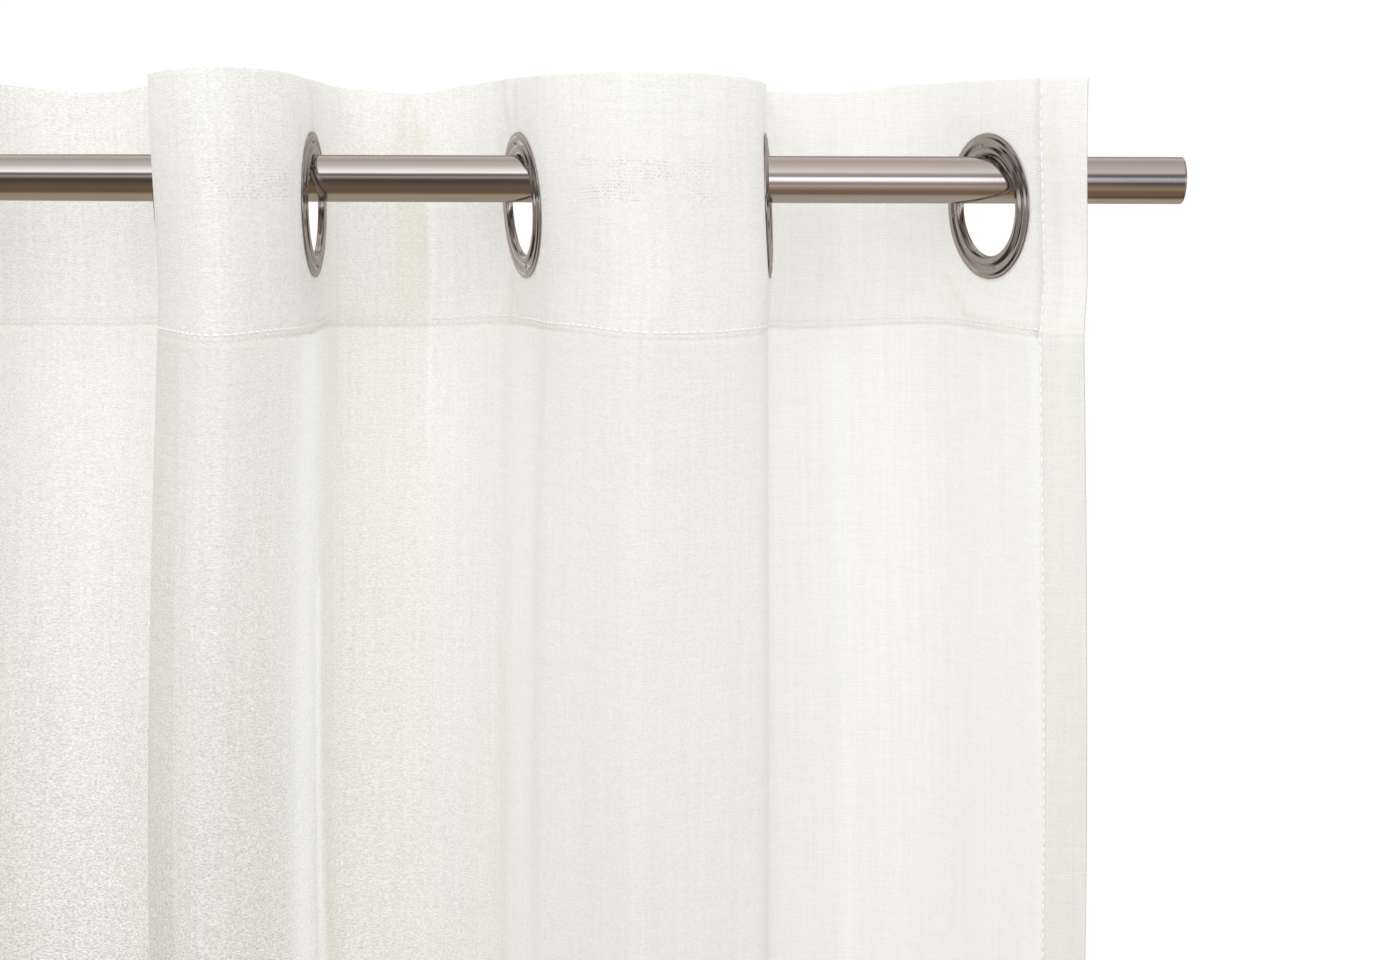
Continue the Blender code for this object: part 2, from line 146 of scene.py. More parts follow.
# Main creases, in millimetres on the flat cloth: from (across, down) to (across, down),
# half width, and height towards the viewer, less than nothing for a trough
CREASES = (
    (890.0, 6.0, 891.0, 120.0, 5.0, -2.0),
    (891.0, 100.0, 895.0, 1500.0, 6.0, -1.6),
    (880.0, 4.0, 874.0, 40.0, 4.5, 0.9),
    (1257.0, 0.0, 1256.0, 110.0, 5.0, -1.2),
    (1254.0, 100.0, 1258.0, 1100.0, 6.0, -1.4),
    (788.0, 3.0, 795.0, 22.0, 4.0, 1.1),
    (958.0, 2.0, 982.0, 26.0, 4.0, 1.2),
    (974.0, 2.0, 969.0, 20.0, 3.5, -0.9),
    (1304.0, 74.0, 1329.0, 96.0, 4.0, 1.1),
    (1329.0, 96.0, 1378.0, 104.0, 4.0, 1.0),
    (952.0, 82.0, 966.0, 98.0, 4.0, -1.1),
    (798.0, 88.0, 812.0, 108.0, 4.0, -1.0),
    (1160.0, 90.0, 1150.0, 112.0, 4.0, -0.8),
    (700.0, 0.0, 702.0, 260.0, 16.0, 0.8),
    (1069.0, 0.0, 1066.0, 300.0, 20.0, 0.6),
    (300.0, 0.0, 304.0, 1300.0, 7.0, -1.4),
    (612.0, 0.0, 606.0, 1000.0, 7.0, 1.2),
)

# Painted shade and painted light on the flat cloth, laid out as the creases are, with half width and
# strength: more than nothing is painted shade, warmer and darker, along creases, seam puckers and shaded
# folds, with the warm tone of pressed creases; less than nothing is painted light, paler bands where the
# folds turn and in their valleys
PAINTED_SHADE_AND_LIGHT = (
    (884.0, 2.0, 877.0, 28.0, 1.8, 0.45),
    (884.5, 2.0, 889.5, 14.0, 1.8, 0.40),
    (884.0, 16.0, 883.0, 98.0, 7.5, 0.45),
    (888.2, 14.0, 888.6, 112.0, 2.6, 0.55),
    (889.0, 100.0, 898.0, 1500.0, 3.4, 0.36),
    (880.0, 104.0, 889.0, 1500.0, 10.0, 0.30),
    (862.0, 110.0, 876.0, 1500.0, 22.0, 0.42),
    (893.0, 48.0, 892.6, 78.0, 2.3, -0.90),
    (892.0, 76.0, 892.2, 150.0, 1.6, -0.30),
    (1259.5, 46.0, 1260.0, 96.0, 4.0, -0.35),
    (1256.5, 104.0, 1259.5, 420.0, 4.0, -0.16),
    (1259.5, 88.0, 1261.0, 95.0, 1.2, 0.45),
    (796.0, 103.0, 815.0, 215.0, 5.0, -0.60),
    (815.0, 215.0, 831.0, 400.0, 9.0, -0.85),
    (831.0, 400.0, 846.0, 1500.0, 10.0, -0.85),
    (780.0, 104.0, 813.0, 1500.0, 34.0, -0.85),
    (978.0, 110.0, 997.0, 1500.0, 24.0, -0.30),
    (1387.5, 2.0, 1387.5, 98.0, 3.6, 0.40),
    (1384.0, 98.0, 1397.0, 98.5, 3.0, 0.40),
    (1311.0, 80.0, 1324.0, 90.0, 1.8, 0.28),
    (1323.0, 88.0, 1332.0, 98.0, 2.6, 0.50),
    (1330.0, 97.0, 1383.0, 98.5, 2.2, 0.40),
    (951.0, 82.0, 955.0, 96.0, 3.4, 0.40),
    (958.0, 88.0, 967.0, 98.0, 2.6, 0.50),
    (966.0, 98.0, 1022.0, 99.0, 2.2, 0.40),
    (800.0, 92.0, 806.0, 100.0, 2.6, 0.40),
    (806.0, 98.5, 890.0, 98.5, 2.2, 0.40),
    (956.0, 2.0, 966.0, 24.0, 4.0, 0.28),
    (972.0, 6.0, 982.0, 28.0, 4.0, 0.25),
    (788.0, 4.0, 795.0, 20.0, 3.6, 0.30),
)

# Where the rod rubs the weave open, in millimetres on the flat cloth: across, half width,
# and strength
RUBBED = (
    (176.0, 40.0, 0.8),
    (455.0, 46.0, 0.8),
    (724.0, 34.0, 0.9),
    (1068.0, 42.0, 1.0),
    (1380.0, 5.0, 0.5),
)
RUBBED_DOWN = 0.0405
RUBBED_HALF = 0.0115

# Stretches of the flat cloth over which its finish changes, from its left edge or its top: where the weave
# turns finer, coarser lower down and finest, where painted light makes one layer paler to the right, where
# painted shade makes the cloth darker and warmer lower down and to the left, and where the painted shade
# and light of its marks die away
COARSE_ACROSS = (0.72, 1.06)
COARSE_DOWN = (0.12, 0.40)
FINE_EDGE = (1.14, 1.22)
PAINTED_LIGHT_RIGHT = (0.80, 1.15)
PAINTED_SHADE_DOWN = (0.16, 0.42)
PAINTED_SHADE_LEFT = (0.75, 1.25)
PAINTED_MARKS_FADE = (0.38, 1.45)

# How closely the threads cover, how much of that is left where the painted light marks also open the cloth,
# and the woven cloth's mean cover and tint
BASE_COVER = 0.96
PAINTED_LIGHT_COVER = 0.68
EVEN_COVER = 0.928
MEAN_TINT = 1.0135

# Soft unevenness of the hanging cloth: wavelength across and down, phase and height
RIPPLES = (
    (46.0, 900.0, 0.4, 0.35),
    (29.0, 640.0, 2.1, 0.25),
    (17.0, 420.0, 4.0, 0.14),
    (71.0, 1500.0, 5.2, 0.45),
    (11.5, 230.0, 1.3, 0.07),
)

# ---------------------------------------------------------------- layout of the cloth meshes

# Rings of points round each eyelet's hole, out to a square patch, and columns between
HOLE_RADIUS = 0.0224
RINGS_IN_HOLE = 5
RINGS_IN_PATCH = 8
RING_STEP = HOLE_RADIUS / RINGS_IN_HOLE
PATCH = RING_STEP * RINGS_IN_PATCH
COLUMNS_BETWEEN = 40
LINE_STEP = 0.001
LINES_DOWN = 40

# How deep the cloth's face lies, how far behind it a second layer lies, how deep stitching
# draws it in, the reach of a hem's turn, and how far the band's sewn edges come forward
FACE_DEPTH = 0.00035
LAYER = 0.0004
DRAWN_IN = 0.00012
FOLD_OVER = 0.0012
BAND_EDGE_LIFT = 0.0001

# The outermost columns' distance from the edges, the rows of points on the way down, how
# they crowd under the seam, and the margin of the cloth's map
EDGE_INSET = 0.0006
ROWS_DOWN = 92
ROW_EASE = 1.45
ROWS_IN_HEM = 7
MAP_MARGIN = 0.002

# Rows of points, in millimetres: past a side edge and past the foot, where the hems turn
# over, under the seam and over it on the panel, and under it on the heading band
TURNED_ASIDE = (0.4, 1.2, 4.0, 10.0)
TURNED_UP = (0.4, 1.2, 10.0, 30.0, 55.0)
UNDER_SEAM = (0.0, 0.7, 1.4, 2.6, 4.5, 7.5)
OVER_SEAM = (0.7, 1.4, 2.4, 4.0, 7.0, 11.0)
BAND_UNDER_SEAM = (1.6, 1.0, 0.0)

# Stitches: over the seam and under the hem's top, inside the side hems, and how deep the
# rows lie on the front and on the back of the cloth
STITCH_INSET = 0.0020
SIDE_STITCH_INSET = 0.0006
STITCH_DEPTH = 0.0001
STITCH_BACK = 0.00195

PHOTO_WIDTH = 1400


def ease(share):
    """Smooth step from 0 to 1."""
    share = np.clip(share, 0.0, 1.0)
    return share * share * (3.0 - 2.0 * share)


# ---------------------------------------------------------------- the cloth's line from above


def goes_to_back(number):
    """Whether the cloth, going right, passes from front to back at an eyelet."""
    return number % 2 == 0


def cloth_way(number):
    """Way along the cloth, going right, where it crosses the rod at an eyelet."""
    turn = radians(EYELETS[number][1])
    to_back = 1.0 if goes_to_back(number) else -1.0
    return np.array((sin(turn), to_back * cos(turn)))


def bend(start, start_way, end, end_way, fullness):
    """Smooth line between two points; a greater fullness makes it squarer."""
    reach = end - start
    first = start + start_way * fullness * abs(reach @ start_way)
    second = end - end_way * fullness * abs(reach @ end_way)
    share = np.linspace(0.0, 1.0, FINE_STEPS + 1)[:, None]
    rest = 1.0 - share
    return (
        rest**3 * start
        + 3.0 * rest**2 * share * first
        + 3.0 * rest * share**2 * second
        + share**3 * end
    )


def steps_along(points):
    """Distance along a line of points from its start to each."""
    steps = np.linalg.norm(np.diff(points, axis=0), axis=1)
    return np.concatenate(((0.0,), np.cumsum(steps)))


def fold_line(start, start_way, crest, end, end_way, lean, cloth):
    """Line of one fold over its crest, as full as its length of cloth makes it."""
    along = np.array((1.0, 0.0))
    slack, square = SLACKEST, SQUAREST
    for _ in range(HALVINGS):
        fullness = (slack + square) / 2.0
        rise = bend(start, start_way, crest, along, fullness * (1.0 + lean))
        fall = bend(crest, along, end, end_way, fullness * (1.0 - lean))
        line = np.vstack((rise, fall[1:]))
        if steps_along(line)[-1] < cloth:
            slack = fullness
        else:
            square = fullness
    return line


def edge_line(start, way, edge_angle, cloth):
    """Line from an eyelet's flat to the side edge, turning quickly and then slowly."""
    first_angle = atan2(way[1], way[0])
    share = (np.arange(FINE_STEPS) + 0.5) / FINE_STEPS
    angles = edge_angle + (first_angle - edge_angle) * (1.0 - share) ** EDGE_EASE
    steps = np.stack((np.cos(angles), np.sin(angles)), axis=1) * cloth / FINE_STEPS
    return np.vstack((start, start + np.cumsum(steps, axis=0)))


def hung_wider(x, drop):
    """Where a place along the rod comes, as the cloth hangs wider so far under the seam."""
    share = min(1.0, drop / SPREAD_DROP)
    aside = SPREAD_REACH * tanh((x - SPREAD_ABOUT) / SPREAD_REACH)
    return x + SPREAD * sin(pi / 2.0 * share) * aside


def plan_line(share):
    """The cloth's line from above at a share of the way from the seam to the foot."""
    fall = share**FOLD_EASE
    drop = share * (SEAM_Z - FOOT_Z)
    flat = FLAT_AT_EYELET + (FLAT_AT_FOOT - FLAT_AT_EYELET) * fall
    margin = EDGE_TO_EYELET - flat
    between = np.arange(EYELET_COUNT - 1) + 0.5
    drift = np.interp(range(EYELET_COUNT), between, [row[3] for row in FOLDS])
    centres = [
        np.array((hung_wider(row[0] + moved * fall, drop), 0.0)) * MM
        for row, moved in zip(EYELETS, drift)
    ]
    ways = [cloth_way(number) for number in range(EYELET_COUNT)]
    left_start = centres[0] - ways[0] * flat
    left = edge_line(left_start, -ways[0], radians(EDGE_ANGLES[0]) - pi, margin)
    pieces = [left[::-1]]
    for i, (crest_x, crest_y, lean, moved, depth_left, *_) in enumerate(FOLDS):
        depth_share = 1.0 + (depth_left - 1.0) * fall
        crest = np.array((hung_wider(crest_x + moved * fall, drop), crest_y * depth_share)) * MM
        start = centres[i] + ways[i] * flat
        end = centres[i + 1] - ways[i + 1] * flat
        cloth = EYELET_PITCH - 2.0 * flat
        pieces.append(fold_line(start, ways[i], crest, end, ways[i + 1], lean, cloth)[1:])
    right_start = centres[-1] + ways[-1] * flat
    pieces.append(edge_line(right_start, ways[-1], radians(EDGE_ANGLES[1]), margin)[1:])
    return np.vstack(pieces)


def soften(values, steps=3):
    """Even a row of values a little over its neighbours, keeping its ends."""
    for _ in range(steps):
        values = np.concatenate(
            (values[:1], (values[:-2] + 2.0 * values[1:-1] + values[2:]) / 4.0, values[-1:])
        )
    return values


def lines_down_the_cloth():
    """The folds' line at even steps down the cloth: its x, y and facing at even stations."""
    stations = np.arange(0.0, FLAT_WIDTH + LINE_STEP / 2.0, LINE_STEP)
    lines = np.empty((LINES_DOWN + 1, 4, len(stations)))
    for row, share in enumerate(np.linspace(0.0, 1.0, LINES_DOWN + 1)):
        line = plan_line(share**2)
        used = steps_along(line)
        used *= FLAT_WIDTH / used[-1]
        x, y = (soften(np.interp(stations, used, line[:, axis])) for axis in (0, 1))
        way = np.stack((np.gradient(x), np.gradient(y)))
        way /= np.linalg.norm(way, axis=0)
        lines[row] = x, y, way[1], -way[0]
    return lines


def on_the_folds(stations, levels):
    """The folds' x, y and facing at flat stations and heights of any shape."""
    shares = np.clip((SEAM_Z - levels) / (SEAM_Z - FOOT_Z), 0.0, 1.0)
    row = np.sqrt(shares) * LINES_DOWN
    column = np.clip(stations / LINE_STEP, 0.0, FOLD_LINES.shape[2] - 1.001)
    upper = np.minimum(row.astype(int), LINES_DOWN - 1)
    left = column.astype(int)
    past_row, past_column = row - upper, column - left
    found = []
    for lines in (FOLD_LINES[:, kind] for kind in range(4)):
        above = lines[upper, left] * (1.0 - past_column) + lines[upper, left + 1] * past_column
        below = lines[upper + 1, left] * (1.0 - past_column) + lines[upper + 1, left + 1] * past_column
        found.append(above * (1.0 - past_row) + below * past_row)
    return found


FOLD_LINES = lines_down_the_cloth()


# ---------------------------------------------------------------- rises, creases and ripples


def eyelet_station(number):
    """Flat distance of an eyelet from the left edge."""
    return EDGE_TO_EYELET + EYELET_PITCH * number


def rise_table():
    """Flat distances, and the rises of the top edge and of the seam at each."""
    edge_top, edge_seam = EDGE_RISES
    rows = [(0.0, edge_top * MM, edge_seam * MM)]
    for number, (_, _, _, *eyelet_rises) in enumerate(EYELETS):
        sides = list(zip(eyelet_rises[:3], eyelet_rises[3:]))
        if not goes_to_back(number):
            sides.reverse()
        for offset, (top, seam) in zip((-FLAT_AT_EYELET, 0.0, FLAT_AT_EYELET), sides):
            rows.append((eyelet_station(number) + offset, top * MM, seam * MM))
        if number < len(FOLDS):
            start = eyelet_station(number) + FLAT_AT_EYELET
            fold_rises = FOLDS[number][-6:]
            for quarter, top, seam in zip((1, 2, 3), fold_rises[:3], fold_rises[3:]):
                at = start + (EYELET_PITCH - 2.0 * FLAT_AT_EYELET) * quarter / 4.0
                rows.append((at, top * MM, seam * MM))
    rows.append((FLAT_WIDTH, edge_top * MM, edge_seam * MM))
    return np.array(rows).T


def smooth_between(at, knots, values):
    """Values at places between knots, by a smooth curve through them."""
    slopes = np.gradient(values, knots)
    left = np.clip(np.searchsorted(knots, at) - 1, 0, len(knots) - 2)
    width = knots[left + 1] - knots[left]
    share = (at - knots[left]) / width
    start, end = values[left], values[left + 1]
    first, second = slopes[left] * width, slopes[left + 1] * width
    return (
        start * (1.0 + 2.0 * share) * (1.0 - share) ** 2
        + first * share * (1.0 - share) ** 2
        + end * share**2 * (3.0 - 2.0 * share)
        - second * share**2 * (1.0 - share)
    )


def rises(stations, levels):
    """How far the heading stands above its even height."""
    at, top, seam = rise_table()
    share = np.clip((levels - SEAM_Z) / HEADING_HEIGHT, 0.0, 1.0)
    low = smooth_between(stations, at, seam)
    high = smooth_between(stations, at, top)
    falls = np.clip((SEAM_Z - levels) / (SEAM_Z - FOOT_Z), 0.0, 1.0) ** FOLD_EASE
    return (low + (high - low) * share) * (1.0 - falls) ** RISE_FADE


def lean_aside(stations, levels):
    """How far aside the heading stands, as its eyelets lean."""
    knots, leans = [0.0], [EDGE_LEAN]
    for number, (_, _, lean, *_) in enumerate(EYELETS):
        for offset in (-FLAT_AT_EYELET, FLAT_AT_EYELET):
            knots.append(eyelet_station(number) + offset)
            leans.append(lean)
    knots.append(FLAT_WIDTH)
    leans.append(EDGE_LEAN)
    heights = (SEAM_Z, UNDER_EYELET_Z, OVER_EYELET_Z)
    arm = np.interp(levels, heights, (0.0, FLAT_AT_EYELET, -FLAT_AT_EYELET))
    return np.tan(np.radians(np.interp(stations, knots, leans))) * arm


def from_eyelets(stations, levels):
    """Distance from the nearest eyelet's centre on the hung cloth."""
    nearest = np.full(np.shape(stations), 1.0)
    for number in range(EYELET_COUNT):
        away = np.hypot(stations - eyelet_station(number), levels - EYELET_Z)
        nearest = np.minimum(nearest, away)
    return nearest


def relief(stations, levels):
    """How far creases and ripples lift the cloth from its folds, towards the viewer."""
    down = (TOP_Z - levels) / MM
    across = stations / MM
    lift = np.zeros(np.shape(stations))
    for start_x, start_y, end_x, end_y, half_width, height in CREASES:
        way = np.array((end_x - start_x, end_y - start_y))
        length = np.linalg.norm(way)
        way /= length
        along = (across - start_x) * way[0] + (down - start_y) * way[1]
        aside = (across - start_x) * way[1] - (down - start_y) * way[0]
        reach = 2.0 * half_width + 0.15 * length
        taper = ease((along + half_width) / reach) * ease((length + half_width - along) / reach)
        lift += height * taper * np.exp(-((aside / half_width) ** 2))
    slack = 0.35 + 0.65 * ease((down - 90.0) / 200.0)
    for wide, high, phase, height in RIPPLES:
        drift = 0.6 * np.sin(down / high * 3.7 + phase)
        wave = np.sin(2.0 * pi * (across / wide) + phase + drift)
        lift += height * slack * wave * (0.6 + 0.4 * np.sin(down / high * 5.1 + 2.0 * phase))
    clear = ease((from_eyelets(stations, levels) - 0.030) / 0.010)
    return lift * MM * clear


# ---------------------------------------------------------------- hanging flat points


def hang(stations, levels, depths):
    """Places of flat points, some way behind the cloth's face."""
    x, y, face_x, face_y = on_the_folds(stations, levels)
    lifts = relief(stations, levels) - depths
    heights = levels + rises(stations, levels) * clear_of_patches(stations, levels)
    x = x + lean_aside(stations, levels)
    return np.stack((x + face_x * lifts, y + face_y * lifts, heights), axis=-1)


def clear_of_patches(stations, levels):
    """0 at the eyelets' holes and 1 outside the patches of rings round them."""
    clear = np.ones(np.shape(stations))
    for number in range(EYELET_COUNT):
        ring = np.maximum(abs(stations - eyelet_station(number)), abs(levels - EYELET_Z))
        clear = np.minimum(clear, ease((ring - HOLE_RADIUS) / (PATCH - HOLE_RADIUS)))
    return clear


def ring_round_holes(stations, levels):
    """Flat points moved so that the mesh runs in rings round each eyelet."""
    stations, levels = stations.copy(), levels.copy()
    for number in range(EYELET_COUNT):
        aside, above = stations - eyelet_station(number), levels - EYELET_Z
        ring = np.maximum(abs(aside), abs(above))
        far = np.maximum(np.hypot(aside, above), 1e-9)
        roundness = ease((PATCH - ring) / (PATCH - HOLE_RADIUS))
        factor = 1.0 + roundness * (ring / far - 1.0)
        inside = ring < PATCH
        stations = np.where(inside, eyelet_station(number) + aside * factor, stations)
        levels = np.where(inside, EYELET_Z + above * factor, levels)
    return stations, levels


def column_stations(inset):
    """Flat distances of the upright rows of points, from one side edge to the other."""
    stations = list(np.linspace(inset, EDGE_TO_EYELET - PATCH, 6)[:-1])
    for number in range(EYELET_COUNT):
        centre = eyelet_station(number)
        stations += list(centre + RING_STEP * np.arange(-RINGS_IN_PATCH, RINGS_IN_PATCH + 1))
        if number < EYELET_COUNT - 1:
            gap = np.linspace(centre + PATCH, eyelet_station(number + 1) - PATCH, COLUMNS_BETWEEN + 1)
            stations += list(gap[1:-1])
    stations += list(np.linspace(FLAT_WIDTH - EDGE_TO_EYELET + PATCH, FLAT_WIDTH - inset, 6)[1:])
    return np.array(stations)


def heading_levels():
    """Heights of the heading's rows of points, from just over its seam up to its top."""
    rings = EYELET_Z + RING_STEP * np.arange(-RINGS_IN_PATCH, RINGS_IN_PATCH + 1)
    over_seam = SEAM_Z + np.array(OVER_SEAM) * MM
    under_top = np.linspace(rings[-1], TOP_Z, 5)[1:]
    return np.concatenate((over_seam, rings, under_top))


def new_grid(name, across, up, stations, levels, depths):
    """Sheet of cloth on its folds, with its flat place kept for its finish."""
    rows, columns = across.shape
    flat = np.stack((across, TOP_Z - up, np.zeros(across.shape)), axis=2).reshape(-1, 3)
    deselect()
    bpy.ops.mesh.primitive_grid_add(x_subdivisions=columns - 1, y_subdivisions=rows - 1, size=1.0)
    sheet = bpy.context.object
    sheet.name = sheet.data.name = name
    places = hang(*ring_round_holes(stations, levels), depths)
    sheet.data.vertices.foreach_set("co", places.astype(np.float32).ravel())
    cloth = sheet.data.attributes.new("flat", "FLOAT_VECTOR", "POINT")
    cloth.data.foreach_set("vector", flat.astype(np.float32).ravel())
    sheet.data.update()
    lay_out_map(sheet.data, flat[:, :2])
    return sheet


def lay_out_map(mesh, flat):
    """UV map of a sheet: its flat cloth, as large as the map takes it."""
    low, high = flat.min(0), flat.max(0)
    spread = MAP_MARGIN + (1.0 - 2.0 * MAP_MARGIN) * (flat - low) / (high - low)
    corners = np.empty(len(mesh.loops), np.int32)
    mesh.loops.foreach_get("vertex_index", corners)
    for old in list(mesh.uv_layers):
        mesh.uv_layers.remove(old)
    layer = mesh.uv_layers.new(name="OFBake")
    layer.uv.foreach_set("vector", spread[corners].astype(np.float32).ravel())


def open_holes(sheet, stations, levels):
    """Delete the cloth inside each eyelet's hole."""
    inside = np.zeros(stations.shape, bool)
    for number in range(EYELET_COUNT):
        ring = np.maximum(abs(stations - eyelet_station(number)), abs(levels - EYELET_Z))
        inside |= ring < HOLE_RADIUS + 0.1 * RING_STEP
    marked = inside.ravel()
    edit(sheet, "FACE")
    bpy.ops.object.mode_set(mode="OBJECT")
    for face in sheet.data.polygons:
        face.select = all(marked[corner] for corner in face.vertices)
    bpy.ops.object.mode_set(mode="EDIT")
    bpy.ops.mesh.delete(type="FACE")
    bpy.ops.object.mode_set(mode="OBJECT")


# ---------------------------------------------------------------- modelling helpers


def deselect():
    """Select nothing, so that an operator acts only on what follows."""
    if bpy.context.object and bpy.context.object.mode != "OBJECT":
        bpy.ops.object.mode_set(mode="OBJECT")
    for thing in bpy.context.view_layer.objects:
        thing.select_set(False)


def pick(thing):
    """Make one object the only selected one, and active."""
    deselect()
    thing.select_set(True)
    bpy.context.view_layer.objects.active = thing


def edit(thing, kind):
    """Open an object's mesh for editing, with nothing in it selected."""
    pick(thing)
    bpy.ops.object.mode_set(mode="EDIT")
    bpy.ops.mesh.select_mode(type=kind)
    bpy.ops.mesh.select_all(action="DESELECT")


def finish_piece(piece, material, slot, replaced=()):
    """Give a piece its finish and its body, hide the parts it replaces, and keep the voile out of what the
    metal mirrors.
    """
    piece.data.materials.clear()
    piece.data.materials.append(material)
    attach(piece, BODY)
    if replaced:
        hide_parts(*replaced)
    piece.visible_glossy = slot != "voile"
    return piece


# ---------------------------------------------------------------- shader helpers


def feed(tree, socket, value):
    """Link a socket to another, or give it a value or a colour."""
    if isinstance(value, bpy.types.NodeSocket):
        tree.links.new(value, socket)
    elif socket.type == "RGBA":
        socket.default_value = (*value, 1.0)
    else:
        socket.default_value = value


def add_node(tree, kind, inputs=None, **settings):
    """Add a shader node; its inputs are values, or sockets to link from."""
    made = tree.nodes.new(kind)
    for name, value in settings.items():
        setattr(made, name, value)
    for key, value in (inputs or {}).items():
        feed(tree, made.inputs[key], value)
    return made


def calc(tree, operation, *values):
    """Math node's result."""
    made = add_node(tree, "ShaderNodeMath", dict(enumerate(values)), operation=operation)
    return made.outputs[0]


def product(tree, first, *others):
    """Product of values."""
    for other in others:
        first = calc(tree, "MULTIPLY", first, other)
    return first


def away_from(tree, value, centre):
    """How far a value is from another, either way."""
    return calc(tree, "ABSOLUTE", calc(tree, "SUBTRACT", value, centre))


def vector_calc(tree, operation, first, second):
    """Vector Math node's result."""
    made = add_node(tree, "ShaderNodeVectorMath", {0: first, 1: second}, operation=operation)
    return made.outputs["Value" if operation in ("DOT_PRODUCT", "DISTANCE") else "Vector"]


def scaled(tree, vector, factor):
    """Vector or colour times a value."""
    made = add_node(tree, "ShaderNodeVectorMath", {0: vector, "Scale": factor}, operation="SCALE")
    return made.outputs[0]


def separate(tree, vector):
    """X, Y and Z of a vector."""
    return tuple(add_node(tree, "ShaderNodeSeparateXYZ", {0: vector}).outputs)


def remap(tree, value, low, high, to_low=0.0, to_high=1.0, smooth=False):
    """Value from one range to another, held at its ends."""
    made = add_node(
        tree,
        "ShaderNodeMapRange",
        {0: value, 1: low, 2: high, 3: to_low, 4: to_high},
        interpolation_type="SMOOTHSTEP" if smooth else "LINEAR",
    )
    return made.outputs[0]


def mixed(tree, share, first, second):
    """Colour between two colours."""
    colours = {0: share, 6: first, 7: second}
    return add_node(tree, "ShaderNodeMix", colours, data_type="RGBA").outputs[2]


def noise(tree, place, scales, detail=2.0, offset=0.0, turn=0.0, distortion=0.0):
    """Noise whose grains are stretched by unlike scales, as many to the metre."""
    mapping = {
        "Vector": place,
        "Location": (offset, offset * 0.37, offset * 0.71),
        "Rotation": (0.0, 0.0, turn),
        "Scale": scales,
    }
    turned = add_node(tree, "ShaderNodeMapping", mapping).outputs[0]
    grains = {"Vector": turned, "Scale": 1.0, "Detail": detail, "Distortion": distortion}
    return add_node(tree, "ShaderNodeTexNoise", grains).outputs[0]


def new_group(name, inputs, outputs):
    """Shader node group, its inputs by name and its outputs; an input of None is a vector."""
    group = bpy.data.node_groups.new(name, "ShaderNodeTree")
    for label, default in inputs.items():
        kind = "NodeSocketVector" if default is None else "NodeSocketFloat"
        socket = group.interface.new_socket(label, in_out="INPUT", socket_type=kind)
        if default is not None:
            socket.default_value = default
    for label in outputs:
        group.interface.new_socket(label, in_out="OUTPUT", socket_type="NodeSocketFloat")
    return group, add_node(group, "NodeGroupInput").outputs, add_node(group, "NodeGroupOutput").inputs


def place_group(tree, make, inputs):
    """A node group placed in a material with its own values; it is made only once."""
    name = make.__name__.replace("_", " ")
    group = bpy.data.node_groups.get(name) or make(name)
    return add_node(tree, "ShaderNodeGroup", inputs, node_tree=group).outputs


def new_material(name):
    """Material with a Principled shader, its node tree and that shader."""
    material = bpy.data.materials.new(name)
    material.use_nodes = True
    return material, material.node_tree, material.node_tree.nodes["Principled BSDF"]


def finish_shader(tree, shader, inputs):
    """Feed a Principled shader's inputs."""
    for name, value in inputs.items():
        feed(tree, shader.inputs[name], value)


def bumped(tree, height, strength, distance):
    """Normal of a surface with fine relief."""
    inputs = {"Height": height, "Strength": strength, "Distance": distance}
    return add_node(tree, "ShaderNodeBump", inputs).outputs[0]


# ---------------------------------------------------------------- cloth finish


